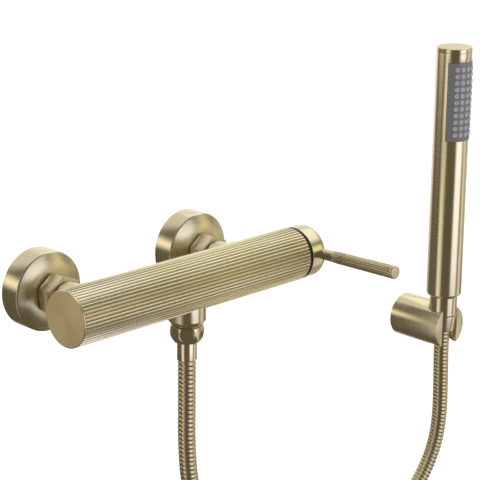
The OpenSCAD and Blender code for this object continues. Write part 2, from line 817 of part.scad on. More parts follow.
// Points along the smooth curve through a list of points, with straight ends
function between(p, i, t) =
    let (a = p[i - 1], b = p[i], c = p[i + 1], d = p[i + 2])
        ((2 * b) + (c - a) * t + (2 * a - 5 * b + 4 * c - d) * t * t
            + (3 * b - a - 3 * c + d) * t * t * t) / 2;
function curve(p, steps) = [
    for (i = [1:len(p) - 3], k = [0:steps - 1]) between(p, i, k / steps),
    p[len(p) - 2]
];
function route(from, into, points, to, onto) =
    let (d = hose_d)
        concat([from], curve(concat([from, from + d * into], points, [to - d * onto, to]), 10), [to]);
function running(p) = [
    for (i = 0, s = 0; i < len(p); s = s + (i + 1 < len(p) ? norm(p[i + 1] - p[i]) : 0), i = i + 1) s
];
function place(p, s, at) =
    at <= 0 ? p[0] : at >= s[len(s) - 1] ? p[len(p) - 1]
    : let (i = search_low(s, at, 0, len(s) - 1), t = (at - s[i]) / (s[i + 1] - s[i]))
        p[i] + (p[i + 1] - p[i]) * t;
function search_low(s, at, lo, hi) =
    hi - lo <= 1 ? lo
    : let (mid = floor((lo + hi) / 2)) s[mid] <= at ? search_low(s, at, mid, hi) : search_low(s, at, lo, mid);
function evenly(p, count) =
    let (s = running(p), total = s[len(s) - 1])
        [for (i = [0:count]) place(p, s, total * i / count)];
function length_of(p) = let (s = running(p)) s[len(s) - 1];

// Rings round a path; the reference direction is never along the path
function unit(v) = v / norm(v);
function heading(p, i) = unit(p[min(i + 1, len(p) - 1)] - p[max(i - 1, 0)]);
function tube_ring(centre, dir, r, sides, ref) =
    let (u = unit(cross(ref, dir)), v = cross(dir, u))
        [for (k = [0:sides - 1]) let (a = k * 360 / sides) centre + r * (cos(a) * u + sin(a) * v)];
function wall_faces(rings, sides, first, flip) = [
    for (i = [0:rings - 2], k = [0:sides - 1])
        let (a = first + i * sides + k, b = first + i * sides + (k + 1) % sides,
            c = b + sides, d = a + sides)
        each flip ? [[a, d, b], [b, d, c]] : [[a, b, d], [b, c, d]]
];
module sweep(path, r, sides, ref) {
    n = len(path);
    points = [for (i = [0:n - 1]) each tube_ring(path[i], heading(path, i), r, sides, ref)];
    caps = [[for (k = [0:sides - 1]) k], [for (k = [sides - 1:-1:0]) (n - 1) * sides + k]];
    polyhedron(points, concat(wall_faces(n, sides, 0, true), caps));
}
// A hose with its bore: outer rings at the given radii, inner rings on their own path
module hollow_sweep(path, radii, inner, bore, sides, ref) {
    n = len(path);
    m = len(inner);
    base = n * sides;
    points = concat(
        [for (i = [0:n - 1]) each tube_ring(path[i], heading(path, i), radii[i], sides, ref)],
        [for (i = [0:m - 1]) each tube_ring(inner[i], heading(inner, i), bore, sides, ref)]
    );
    near = [for (k = [0:sides - 1]) let (j = (k + 1) % sides)
        each [[k, j, base + k], [j, base + j, base + k]]];
    last = (n - 1) * sides;
    inner_last = base + (m - 1) * sides;
    far = [for (k = [0:sides - 1]) let (j = (k + 1) % sides)
        each [[last + j, last + k, inner_last + k], [inner_last + j, last + j, inner_last + k]]];
    polyhedron(points, concat(
        wall_faces(n, sides, 0, true), wall_faces(m, sides, base, false), near, far
    ));
}
mixer_route = route(hose_exit, [0, 0, -1], mixer_points, coil_start - hose_d * coil_in, coil_in);
handset_route = route(coil_finish + hose_d * coil_out, coil_out, handset_points, hose_end, [0, 0, 1]);
coil_helix = [
    for (i = [0:coil_turns * coil_rings])
        let (a = 180 + i * 360 / coil_rings)
        coil_centre + [coil_r * cos(a), coil_pitch * (i / coil_rings - coil_turns / 2), coil_r * sin(a)]
];
coil_route = concat(
    [coil_start - hose_d * coil_in], coil_helix, [coil_finish + hose_d * coil_out]
);
module ribbed_hose(path, ribs) {
    rings = evenly(path, 2 * ribs);
    radii = [for (i = [0:2 * ribs]) i % 2 == 0 ? hose_r - rib_depth : hose_r];
    color(gold_dark)
        hollow_sweep(rings, radii, evenly(path, 24), hose_bore_r, 8, [0, 1, 0]);
}
module hose_mixer_side() {
    ribbed_hose(mixer_route, mixer_ribs);
}
module hose_handset_side() {
    ribbed_hose(handset_route, handset_ribs);
}
module hose_coil() {
    radii = [for (p = coil_route) hose_r];
    color(gold_dark) hollow_sweep(coil_route, radii, coil_route, hose_bore_r, 6, [0, 1, 0]);
}
// A strap round the passes at the foot of the coil
module hose_tie() {
    wide = 2 * coil_pitch + hose_d;
    gap = 0.5;
    strap = 1.6;
    tie_w = 12;
    color(black_rubber) translate(coil_centre + [-tie_w / 2, 0, -coil_r + 0.1]) rotate([90, 0, 90])
        linear_extrude(tie_w) difference() {
            stadium(wide + 2 * (gap + strap), hose_d + 2 * (gap + strap));
            stadium(wide + 2 * gap, hose_d + 2 * gap);
        }
}
module stadium(w, h) {
    r = h / 2;
    square([w - h, h], center = true);
    for (side = [-1, 1]) translate([side * (w / 2 - r), 0]) circle(r = r);
}

module hose_insert_handset() {
    collar_top = collar_low + hose_collar_t;
    color(brass) at_handset() difference() {
        union() {
            rod(hose_collar_r, collar_low, collar_top);
            rod(cone_neck_r, insert_low, collar_top);
            rod(spigot_r, insert_low - spigot_reach, collar_top);
        }
        rod(insert_bore_r, insert_low - spigot_reach - 1, collar_top + 1);
    }
}
module hose_washer_handset() {
    color(black_rubber) at_handset()
        ring(hose_collar_r, neck_bore_r, male_low - washer_t, male_low - 2 * fit_gap);
}
module cone_nut() {
    color(brushed_gold) at_handset() difference() {
        rotate_extrude() polygon([
            [0, cone_low], [cone_low_r - 0.5, cone_low], [cone_low_r, cone_low + 0.5],
            [neck_r_out, cone_top - 0.3], [neck_r_out - 0.2, cone_top], [0, cone_top]
        ]);
        rod(half_inch_r + fit_gap, collar_low - fit_gap, cone_top + 1);
        rod(cone_neck_r + 2 * fit_gap, cone_low - 1, cone_top);
    }
}
module handset_neck() {
    color(brushed_gold) at_handset() difference() {
        union() {
            rod(neck_r_out, cone_top + 0.3, neck_top + 0.1);
            translate([0, 0, neck_top])
                cylinder(r1 = handset_r - tube_bevel_w, r2 = handset_r - tube_edge_w, h = tube_low - neck_top);
            rod(handset_in_r - fit_gap, tube_low - 0.2, neck_top + neck_thread_l);
            rod(half_inch_r, male_low, neck_top);
        }
        rod(neck_bore_r, male_low - 1, neck_top + neck_thread_l + 1);
        rod(water_tube_r + fit_gap, neck_top, neck_top + neck_thread_l + 1);
        rod(neck_bore_r + 1, male_low - 1, male_low + 4);
        translate([0, 0, seal_z]) rotate_extrude()
            translate([handset_in_r - 1.2, -0.7]) square([3, 1.4]);
    }
}
module neck_seal() {
    color(black_rubber) at_handset() o_ring(handset_in_r - 0.65, 0.52, seal_z);
}
module flow_restrictor() {
    color(white_plastic) at_handset()
        ring(neck_bore_r + 1 - fit_gap, 1.6, male_low + 0.1, male_low + 4);
}
module handset_tube() {
    color(brushed_gold) at_handset() difference() {
        rotate_extrude($fn = 96) polygon([
            [handset_in_r, tube_low], [handset_r - tube_edge_w, tube_low],
            [handset_r, tube_low + tube_edge_l],
            [handset_r, tube_top], [handset_in_r, tube_top]
        ]);
        wrap_sector(handset_in_r - 2, handset_r + 2, spray_low, spray_high, spray_wrap);
    }
}
// A curved slab round the handset that faces out of the wall
module wrap_sector(r_in, r_out, low, high, angle) {
    translate([0, 0, low]) rotate([0, 0, 270 - angle / 2])
        rotate_extrude(angle = angle, $fn = 96) translate([r_in, 0]) square([r_out - r_in, high - low]);
}
module top_cap() {
    edge = 0.5;
    color(brushed_gold) at_handset() rotate_extrude($fn = 96) polygon([
        [0, tube_top - 6], [handset_in_r - fit_gap, tube_top - 6], [handset_in_r - fit_gap, tube_top],
        [handset_r, tube_top], [handset_r, handset_top - edge], [handset_r - edge, handset_top],
        [0, handset_top]
    ]);
}
module water_tube() {
    color(white_plastic) at_handset()
        ring(water_tube_r, water_tube_r - 1.2, neck_top + fit_gap, spray_low - 1.5);
}
// A half shell behind the nozzle mat spreads the water over it
module spray_manifold() {
    low = spray_low - 1.5;
    high = spray_high + 1.5;
    color(white_plastic) at_handset() difference() {
        rod(manifold_r, low, high);
        rod(manifold_r - manifold_wall, low + manifold_wall, high - manifold_wall);
        rod(water_tube_r - 1.2, low - 1, low + 3);
        wrap_sector(manifold_r - 3, manifold_r + 2, low + manifold_wall, high - manifold_wall, spray_wrap - 2 * manifold_edge_a);
    }
}
module nozzle_places() {
    mid = (spray_low + spray_high) / 2;
    for (row = [0:nozzle_rows - 1], column = [0:nozzle_columns - 1])
        translate([0, 0, mid + (row - (nozzle_rows - 1) / 2) * nozzle_pitch_z])
            rotate([0, 0, (column - (nozzle_columns - 1) / 2) * nozzle_pitch_a])
                rotate([90, 0, 0]) children();
}
module nozzle_mat() {
    color(pale_silicone) at_handset() difference() {
        union() {
            wrap_sector(mat_in_r, mat_out_r, spray_low + 1, spray_high - 1, spray_wrap - 6);
            nozzle_places() rod(nozzle_r, mat_out_r - 0.5, spray_out_r + nozzle_proud);
        }
        nozzle_places() rod(nozzle_hole_r, mat_in_r - 1, spray_out_r + 1);
    }
}
module spray_plate() {
    color(grey_silicone) at_handset() difference() {
        wrap_sector(mat_out_r + 0.05, spray_out_r, spray_low + 0.1, spray_high - 0.1, spray_wrap - 0.5);
        nozzle_places() rod(nozzle_r + fit_gap, mat_out_r - 1, spray_out_r + 1);
    }
}

module bracket_body() {
    centre = bar_z - bracket_drop;
    edge = 0.4;
    color(brushed_gold) difference() {
        out_of_wall(handset_x, centre) rotate_extrude($fn = 96) polygon([
            [0, 0], [bracket_r, 0], [bracket_r, bracket_front - edge],
            [bracket_r - edge, bracket_front], [0, bracket_front]
        ]);
        at_handset() {
            rod(seat_top_r, cone_top, 0);
            rotate_extrude($fn = 96) polygon([
                [0, cone_low], [seat_low_r, cone_low], [seat_top_r, cone_top], [0, cone_top]
            ]);
            rod(seat_low_r, -bracket_drop - bracket_r - 1, cone_low + fit_gap);
            translate([-slot_w / 2, -bracket_lip - 2, -bracket_drop - bracket_r - 1])
                cube([slot_w, bracket_lip + 2, bracket_d + 2]);
        }
        out_of_wall(handset_x, centre) rod(cavity_r, -1, cavity_out);
        bracket_grub_frame() rod(bracket_grub_r + fit_gap, cavity_r - 1, bracket_r + 1);
    }
}
module bracket_grub_frame() {
    translate([handset_x, -bracket_grub_out, bar_z - bracket_drop]) rotate([180, 0, 0]) children();
}
module bracket_disc() {
    color(brass) out_of_wall(handset_x, bar_z - bracket_drop) difference() {
        rod(disc_fit_r, 0, disc_out);
        rod(screw_r + fit_gap, -1, disc_out + 1);
        translate([0, 0, disc_out - screw_head_l])
            cylinder(r1 = screw_r + fit_gap, r2 = screw_head_r + 2 * fit_gap, h = screw_head_l + fit_gap);
        translate([0, 0, bracket_grub_out]) rotate_extrude()
            translate([disc_fit_r - 1, -bracket_grub_r - 0.1]) square([3, 2 * bracket_grub_r + 0.2]);
    }
}
module bracket_grub_screw() {
    color(steel) bracket_grub_frame() difference() {
        rod(bracket_grub_r, disc_fit_r - 1 + fit_gap, bracket_r - 0.8);
        translate([0, 0, bracket_r - 3]) cylinder(r = 1.1, h = 3, $fn = 6);
    }
}

// Length of the hose along its middle, and its least gap to itself
hose_points = concat(evenly(mixer_route, 30), coil_route, evenly(handset_route, 30));
hose_length = length_of(mixer_route) + length_of(coil_route) + length_of(handset_route);
hose_gap = min([
    for (i = [0:len(hose_points) - 2], j = [i + 1:len(hose_points) - 1])
        if (j - i > 12) norm(hose_points[j] - hose_points[i]) - hose_d
]);
echo(hose_length = hose_length, hose_least_gap = hose_gap);

fluted_body();
end_cap();
end_cap_seal();
wall_union_hot();
wall_union_cold();
wall_rose_hot();
wall_rose_cold();
union_nuts();
inlet_washers();
inlet_tails();
check_valve_bodies();
check_poppet_hot();
check_poppet_cold();
check_spring_hot();
check_spring_cold();
cartridge_base();
cartridge_seals();
cartridge_housing();
fixed_disc();
moving_disc();
disc_carrier();
stem_guide();
pivot_pin();
stem();
cartridge_nut();
dome_cover();
handle_cap();
lever();
handle_screw();
outlet_nipple();
ball_nut();
hose_washer_mixer();
hose_insert_mixer();
ferrule();
hose_mixer_side();
hose_coil();
hose_tie();
hose_handset_side();
hose_insert_handset();
hose_washer_handset();
cone_nut();
handset_neck();
neck_seal();
flow_restrictor();
handset_tube();
top_cap();
water_tube();
spray_manifold();
nozzle_mat();
spray_plate();
bracket_body();
bracket_disc();
bracket_grub_screw();
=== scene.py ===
"""Looks of a wall-mounted shower mixer in brushed light gold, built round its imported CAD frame.

Shapes are worked out in millimetres and go into their meshes in metres. X runs along the bar towards
the lever, -Y points out of the wall, Z is up, and the origin lies on the wall between the two studs.
"""

import json
import math

import bmesh
import bpy
from mathutils import Matrix, Vector


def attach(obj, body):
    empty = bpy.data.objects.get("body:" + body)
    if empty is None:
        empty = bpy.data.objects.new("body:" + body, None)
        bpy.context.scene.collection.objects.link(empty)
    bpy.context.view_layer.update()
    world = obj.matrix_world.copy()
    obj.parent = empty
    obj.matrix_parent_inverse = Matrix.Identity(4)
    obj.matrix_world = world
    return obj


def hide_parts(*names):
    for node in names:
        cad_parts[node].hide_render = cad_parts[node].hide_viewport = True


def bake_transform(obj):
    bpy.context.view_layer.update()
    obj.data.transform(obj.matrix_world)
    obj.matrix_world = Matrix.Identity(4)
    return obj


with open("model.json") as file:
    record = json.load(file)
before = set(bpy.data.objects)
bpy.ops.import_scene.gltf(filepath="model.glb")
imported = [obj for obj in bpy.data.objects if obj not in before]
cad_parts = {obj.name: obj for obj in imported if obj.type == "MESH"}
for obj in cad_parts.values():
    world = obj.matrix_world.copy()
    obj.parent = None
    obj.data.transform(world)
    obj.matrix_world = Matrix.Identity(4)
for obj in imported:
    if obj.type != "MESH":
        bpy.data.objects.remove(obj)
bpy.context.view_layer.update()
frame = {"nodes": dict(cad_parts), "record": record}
MM = 0.001
TURN = 2 * math.pi
QUARTER = TURN / 4

# Driving sizes, in millimetres, as the CAD holds them
BAR_R = 21.0
BAR_OUT = 73.4
BAR_Z = 5.0
BAR_LEFT = -107.0
CAP_DISC = 1.2
BAR_RIGHT = 122.2
FLUTES = 50
FLUTE_DEPTH = 0.85
INLET_X = 75.0
OUTLET_X = 9.75
PIVOT_X = 110.0
STUB_R = 12.5
STUB_END = 36.8
TAIL_R = 9.6
BOSS_LOW = -31.0
FERRULE_TOP = -44.0
FERRULE_LOW = -59.0
CAP_R = 20.7
CAP_X = 124.9
CAP_SIDE_END = 135.3
CAP_END = 143.8
CAP_SHOULDER = 8.0
LEVER_X = 138.0
LEVER_REACH = 92.5
LEVER_RISE = 1.2
LEVER_LIFT = 0.5
HANDSET_X = 352.8
HANDSET_OUT = 44.9
HANDSET_R = 15.5
HANDSET_HOSE_TOP = -125.0
BRACKET_DROP = 120.8
HOSE_R = 7.0

# Camera

# Where the photograph was taken from: place, turn about Z, height, roll and lens
CAMERA_MM = (-866.7, -994.0, 416.0)
CAMERA_AZIMUTH = math.radians(-45.337)
CAMERA_HEIGHT = math.radians(16.505)
CAMERA_ROLL = math.radians(0.642)
CAMERA_LENS = 135.66
SENSOR_WIDTH = 36
FAR_CLIP = 50

BACK = Vector((
    math.sin(CAMERA_AZIMUTH) * math.cos(CAMERA_HEIGHT),
    -math.cos(CAMERA_AZIMUTH) * math.cos(CAMERA_HEIGHT),
    math.sin(CAMERA_HEIGHT),
))
LEVEL_RIGHT = Vector((math.cos(CAMERA_AZIMUTH), math.sin(CAMERA_AZIMUTH), 0))
LEVEL_BACK = Vector((math.sin(CAMERA_AZIMUTH), -math.cos(CAMERA_AZIMUTH), 0))


def new_object(name, data):
    obj = bpy.data.objects.new(name, data)
    bpy.context.scene.collection.objects.link(obj)
    return obj


def make_camera():
    up = BACK.cross(LEVEL_RIGHT)
    right = math.cos(CAMERA_ROLL) * LEVEL_RIGHT + math.sin(CAMERA_ROLL) * up
    over = BACK.cross(right)
    data = bpy.data.cameras.new("camera")
    data.sensor_width = SENSOR_WIDTH
    data.lens = CAMERA_LENS
    data.clip_end = FAR_CLIP
    camera = new_object("camera", data)
    turn = Matrix((right, over, BACK)).transposed().to_4x4()
    camera.matrix_world = Matrix.Translation(Vector(CAMERA_MM) * MM) @ turn
    bpy.context.scene.camera = camera


make_camera()

# Frames: z of a piece's own frame runs along the bar, out of the wall, or up


def along_bar():
    return Matrix.Translation((0, -BAR_OUT, BAR_Z)) @ Matrix.Rotation(QUARTER, 4, "Y")


def out_of_wall(x, z):
    return Matrix.Translation((x, 0, z)) @ Matrix.Rotation(QUARTER, 4, "X")


def under_bar():
    return Matrix.Translation((OUTLET_X, -BAR_OUT, BAR_Z))


def at_handset():
    return Matrix.Translation((HANDSET_X, -HANDSET_OUT, BAR_Z))


def lever_frame():
    turn = Matrix.Rotation(math.radians(-LEVER_RISE), 4, "Z") @ Matrix.Rotation(QUARTER, 4, "X")
    return along_bar() @ Matrix.Translation((-LEVER_LIFT, 0, LEVER_X)) @ turn


# Mesh helpers

ORIGIN = Matrix.Identity(4)

# Lengths that count as nothing: anywhere, in a turned shell in mm, and in a carved mesh in metres
TINY = 1e-6
MERGE_MM = 1e-4
SEAM_M = 2e-6

# The most that a rounded corner takes of an edge
CORNER_SHARE = 0.49

# Angles in degrees beyond which an edge stays sharp, or counts as a square edge to be rounded
SHARP_ANGLE = 32
SQUARE_EDGE = 57


def softened(points, radii, steps=4):
    """The outline with its inner corners rounded, each by its own radius."""
    out = []
    for i, point in enumerate(points):
        r = radii[i]
        here = Vector(point)
        if r <= 0 or i in (0, len(points) - 1):
            out.append(here)
            continue
        back = Vector(points[i - 1]) - here
        ahead = Vector(points[i + 1]) - here
        reach = min(r, back.length * CORNER_SHARE, ahead.length * CORNER_SHARE)
        a = here + back.normalized() * reach
        b = here + ahead.normalized() * reach
        for k in range(steps + 1):
            t = k / steps
            out.append(a * (1 - t) ** 2 + here * 2 * t * (1 - t) + b * t ** 2)
    return out


def turned(bm, outline, steps=96, at=ORIGIN):
    """Spins an outline of (radius, height) points about z into a closed shell."""
    made = [bm.verts.new((p[0], 0, p[1])) for p in outline]
    edges = [bm.edges.new(pair) for pair in zip(made, made[1:])]
    apart = (Vector(outline[0]) - Vector(outline[-1])).length > TINY
    if apart and outline[0][0] > TINY and outline[-1][0] > TINY:
        edges.append(bm.edges.new((made[-1], made[0])))
    before = set(bm.faces)
    bmesh.ops.spin(bm, geom=made + edges, cent=(0, 0, 0), axis=(0, 0, 1), angle=TURN,
                   steps=steps, use_merge=True, use_duplicate=False)
    faces = [f for f in bm.faces if f not in before]
    verts = list({v for f in faces for v in f.verts})
    bmesh.ops.remove_doubles(bm, verts=verts, dist=MERGE_MM)
    faces = [f for f in bm.faces if f not in before]
    bmesh.ops.recalc_face_normals(bm, faces=faces)
    verts = list({v for f in faces for v in f.verts})
    bmesh.ops.transform(bm, matrix=at, verts=verts)


def stacked(bm, segments, loops, at=ORIGIN):
    """Lofts round loops of (height, radius) and fills both ends. A radius may be a rule for each angle."""
    first = bmesh.ops.create_circle(bm, cap_ends=False, segments=segments, radius=1)["verts"]
    angles = [math.atan2(v.co.y, v.co.x) for v in first]
    edges = list({e for v in first for e in v.link_edges})
    verts, every = first, list(first)
    start_edges = edges
    for i, (height, rule) in enumerate(loops):
        if i:
            grown = bmesh.ops.extrude_edge_only(bm, edges=edges)["geom"]
            edges = [g for g in grown if isinstance(g, bmesh.types.BMEdge) and
                     all(v in grown for v in g.verts)]
            fresh = {v for v in grown if isinstance(v, bmesh.types.BMVert)}
            above = {}
            for v in verts:
                above[v] = next(e.other_vert(v) for e in v.link_edges if e.other_vert(v) in fresh)
            verts = [above[v] for v in verts]
            every += verts
        for v, angle in zip(verts, angles):
            r = rule(angle) if callable(rule) else rule
            v.co = (r * math.cos(angle), r * math.sin(angle), height)
    bmesh.ops.edgeloop_fill(bm, edges=start_edges)
    bmesh.ops.edgeloop_fill(bm, edges=edges)
    faces = list({f for v in every for f in v.link_faces})
    bmesh.ops.recalc_face_normals(bm, faces=faces)
    bmesh.ops.transform(bm, matrix=at, verts=every)


def block(bm, low, high, at=ORIGIN):
    size = Vector(high) - Vector(low)
    middle = (Vector(high) + Vector(low)) / 2
    stand = at @ Matrix.Translation(middle) @ Matrix.Diagonal((*size, 1))
    bmesh.ops.create_cube(bm, size=1, matrix=stand)


def sharp_edges(bm, degrees):
    limit = math.radians(degrees)
    return [edge for edge in bm.edges if edge.calc_face_angle(0) > limit]


def break_edges(bm, edges, offset, segments=2):
    bmesh.ops.bevel(bm, geom=edges, offset=offset, offset_type="OFFSET", segments=segments,
                    profile=0.5, affect="EDGES", clamp_overlap=True, material=-1)


def shade(bm, degrees):
    """Smooth faces, except across edges sharper than the angle."""
    limit = math.radians(degrees)
    for face in bm.faces:
        face.smooth = True
    for edge in bm.edges:
        edge.smooth = len(edge.link_faces) == 2 and edge.calc_face_angle(0) < limit


def meshed(name, bm):
    mesh = bpy.data.meshes.new(name)
    bm.to_mesh(mesh)
    bm.free()
    return new_object(name, mesh)


def piece(name, bm, sharp=SHARP_ANGLE):
    """Turns a closed bmesh in millimetres into an object in metres."""
    bmesh.ops.scale(bm, vec=(MM, MM, MM), verts=bm.verts)
    shade(bm, sharp)
    return meshed(name, bm)


def carved(name, base, cuts=(), joins=(), shared=(), bevel=0.0, sharp=SHARP_ANGLE):
    """Joins, cuts and intersects shells, then breaks the sharp edges with a small bevel."""
    body = piece(name, base, sharp)
    tools = []
    for kind, shells in (("UNION", joins), ("INTERSECT", shared), ("DIFFERENCE", cuts)):
        for shell in shells:
            tool = piece(name + "_tool", shell, sharp)
            tools.append(tool)
            modifier = body.modifiers.new(kind.lower(), "BOOLEAN")
            modifier.operation = kind
            modifier.object = tool
            modifier.solver = "EXACT"
    bpy.context.view_layer.update()
    finished = body.evaluated_get(bpy.context.evaluated_depsgraph_get())
    shape = bpy.data.meshes.new_from_object(finished)
    body.modifiers.clear()
    body.data = shape
    for tool in tools:
        bpy.data.objects.remove(tool)
    bm = bmesh.new()
    bm.from_mesh(shape)
    bmesh.ops.remove_doubles(bm, verts=bm.verts, dist=SEAM_M)
    bmesh.ops.dissolve_degenerate(bm, dist=TINY, edges=bm.edges)
    if bevel:
        break_edges(bm, sharp_edges(bm, sharp), bevel * MM)
    shade(bm, sharp)
    bm.to_mesh(shape)
    bm.free()
    return body


def dress(obj, material):
    obj.data.materials.clear()
    obj.data.materials.append(material)


def place(obj, body, material, slot, *nodes):
    """The finished piece moves with its body and stands for its CAD nodes."""
    dress(obj, material)
    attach(obj, body)
    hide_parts(*nodes)


# The hose's route, with the points of the CAD

HOSE_EXIT = Vector((OUTLET_X, -BAR_OUT, BAR_Z + FERRULE_LOW))
HOSE_END = Vector((HANDSET_X, -HANDSET_OUT, BAR_Z + HANDSET_HOSE_TOP))
COIL_R = 70.0
COIL_TURNS = 2.5
COIL_PITCH = 15.0
COIL_CENTRE = Vector((181, -60, -385))
COIL_STEPS = 60
COIL_SLOPE = math.atan2(COIL_PITCH, TURN * COIL_R)
MIXER_POINTS = [
    (9.75, -73.4, -75), (9.75, -73.4, -95), (9.8, -73.5, -118), (11.9, -73.9, -147.7),
    (18.2, -74.8, -174.7), (28.5, -75.8, -200.2), (42.7, -76.8, -224.1), (60.3, -77.7, -245.5),
    (78, -78.4, -266.9), (92.2, -78.9, -290.8), (102.4, -79.3, -316.3), (108.8, -79.6, -343.3),
]
HANDSET_POINTS = [
    (253.1, -40.3, -344.5), (259.7, -40.4, -325.2), (270.4, -40.9, -307.9), (284.7, -41.6, -293.4),
    (301.9, -42.4, -282.3), (318.9, -43.2, -271.3), (333.4, -43.9, -256.8), (344.6, -44.4, -239.5),
    (351.8, -44.7, -220.2), (354.4, -44.9, -198), (354, -44.9, -170), (353, -44.9, -145),
]


def smooth_route(start, into, points, end, onto, steps=10):
    """The smooth curve through the points, with straight ends one hose diameter long."""
    straight = 2 * HOSE_R
    p = [start, start + straight * into, *[Vector(q) for q in points], end - straight * onto, end]
    out = [start]
    for i in range(1, len(p) - 2):
        a, b, c, e = p[i - 1], p[i], p[i + 1], p[i + 2]
        for k in range(steps):
            t = k / steps
            out.append((2 * b + (c - a) * t + (2 * a - 5 * b + 4 * c - e) * t ** 2
                        + (3 * b - a - 3 * c + e) * t ** 3) / 2)
    return out + [p[-2], end]


def hose_route():
    into = Vector((0, math.sin(COIL_SLOPE), -math.cos(COIL_SLOPE)))
    away = Vector((0, math.sin(COIL_SLOPE), math.cos(COIL_SLOPE)))
    half = COIL_TURNS * COIL_PITCH / 2
    start = COIL_CENTRE + Vector((-COIL_R, -half, 0))
    finish = COIL_CENTRE + Vector((COIL_R, half, 0))
    straight = 2 * HOSE_R
    first = smooth_route(HOSE_EXIT, Vector((0, 0, -1)), MIXER_POINTS, start - straight * into, into)
    coil = []
    for i in range(int(COIL_TURNS * COIL_STEPS) + 1):
        a = TURN / 2 + i * TURN / COIL_STEPS
        along = COIL_PITCH * (i / COIL_STEPS - COIL_TURNS / 2)
        coil.append(COIL_CENTRE + Vector((COIL_R * math.cos(a), along, COIL_R * math.sin(a))))
    last = smooth_route(finish + straight * away, away, HANDSET_POINTS, HOSE_END, Vector((0, 0, 1)))
    return first + coil + last


def evenly(route, step):
    """Points along a route, about a step apart, and the length of the route."""
    total = sum((b - a).length for a, b in zip(route, route[1:]))
    count = round(total / step)
    gap = total / count
    out, i, passed = [route[0].copy()], 0, 0.0
    for k in range(1, count):
        want = k * gap
        while passed + (route[i + 1] - route[i]).length < want:
            passed += (route[i + 1] - route[i]).length
            i += 1
        part = route[i + 1] - route[i]
        out.append(route[i] + part * ((want - passed) / part.length))
    return out + [route[-1].copy()], total


RIB_PITCH = 3.5
RIB_DEPTH = 0.95
RIB_FULLNESS = 0.7
RINGS_A_RIB = 6
HOSE_SIDES = 18


def make_hose():
    """A strip-wound metal hose: round ribs on a helix, from the ferrule to the handset's nut."""
    points, total = evenly(hose_route(), RIB_PITCH / RINGS_A_RIB)
    verts, faces = [], []
    last = len(points) - 1
    for i, point in enumerate(points):
        along = (points[min(i + 1, last)] - points[max(i - 1, 0)]).normalized()
        side = Vector((0, 1, 0)).cross(along).normalized()
        over = along.cross(side)
        for k in range(HOSE_SIDES):
            angle = TURN * k / HOSE_SIDES
            phase = (i / RINGS_A_RIB + k / HOSE_SIDES) % 1
            r = HOSE_R - RIB_DEPTH * (1 - math.sin(math.pi * phase) ** RIB_FULLNESS)
            verts.append((point + r * (math.cos(angle) * side + math.sin(angle) * over)) * MM)
    for i in range(last):
        for k in range(HOSE_SIDES):
            a, b = i * HOSE_SIDES + k, i * HOSE_SIDES + (k + 1) % HOSE_SIDES
            faces.append((a, b, b + HOSE_SIDES, a + HOSE_SIDES))
    faces.append(tuple(range(HOSE_SIDES - 1, -1, -1)))
    faces.append(tuple(last * HOSE_SIDES + k for k in range(HOSE_SIDES)))
    mesh = bpy.data.meshes.new("shower_hose")
    mesh.from_pydata(verts, [], faces)
    for polygon in mesh.polygons:
        polygon.use_smooth = True
    mesh.update()
    obj = new_object("shower_hose", mesh)
    path = [tuple(p * MM) for p in points[::RINGS_A_RIB]] + [tuple(points[-1] * MM)]
    return obj, path, total * MM


# Materials


def linear(code):
    """An sRGB hex colour as the linear values that the shader takes."""
    parts = [int(code[i:i + 2], 16) / 255 for i in (1, 3, 5)]
    return (*[c / 12.92 if c <= 0.04045 else ((c + 0.055) / 1.055) ** 2.4 for c in parts], 1)


def add(tree, kind, values=None, links=None, **settings):
    """Adds one node with its settings, input values and links, and returns it."""
    made = tree.nodes.new(kind)
    for key, value in settings.items():
        setattr(made, key, value)
    for key, value in (values or {}).items():
        made.inputs[key].default_value = value
    for key, source in (links or {}).items():
        tree.links.new(source, made.inputs[key])
    return made


def new_material(name, **values):
    material = bpy.data.materials.new(name)
    material.use_nodes = True
    tree = material.node_tree
    shader = tree.nodes["Principled BSDF"]
    for key, value in values.items():
        shader.inputs[key.replace("_", " ")].default_value = value
    return material, tree, shader


LIGHT_GOLD = "#F3E9CD"
DEEP_GOLD = "#E1D4B0"
# Painted shade: the colour that the bottoms of the flute grooves are darkened to
PAINTED_GROOVE_SHADE_GOLD = "#A09273"
# Painted light: the paler colour that lights up the flat ends
PAINTED_END_LIGHT_GOLD = "#FFF0C6"

# How full brushing is drawn. The scratches are wider than real ones, so that they show.
SCRATCH_MM = 0.55
SCRATCH_DEPTH_MM = 0.04
SCRATCH_BUMP = 0.07
SCRATCH_DRIFT = 0.05
SCRATCH_LEVELS = (0.3, 0.7)
SCRATCH_GLOSS = (-0.04, 0.05)
CLOUDS_A_METRE = 28.0
ANISOTROPY = 0.65
ACROSS_SCRATCHES = 0.25

# How far a surface must face along the axis to get the gloss and the painted light of a flat end
END_GLOSS_FACING = (0.75, 0.97)
END_PAINTED_LIGHT_FACING = (0.9, 0.98)


def maths(tree, operation, first, second=None):
    """One sum on a node's output, with a number or with another output."""
    links = {0: first}
    values = {}
    if isinstance(second, (int, float)):
        values[1] = second
    elif second is not None:
        links[1] = second
    return add(tree, "ShaderNodeMath", values, links, operation=operation).outputs[0]


def remapped(tree, source, span, low=0.0, high=1.0):
    """The source's span of values spread from low to high, and held there outside it."""
    values = {1: span[0], 2: span[1], 3: low, 4: high}
    return add(tree, "ShaderNodeMapRange", values, {0: source}).outputs[0]


def colour_mix(tree, share, first, second):
    """From the first colour to the second; each is a hex code or a node's output."""
    values, links = {}, {0: share}
    for socket, colour in ((6, first), (7, second)):
        if isinstance(colour, str):
            values[socket] = linear(colour)
        else:
            links[socket] = colour
    return add(tree, "ShaderNodeMix", values, links, data_type="RGBA").outputs[2]


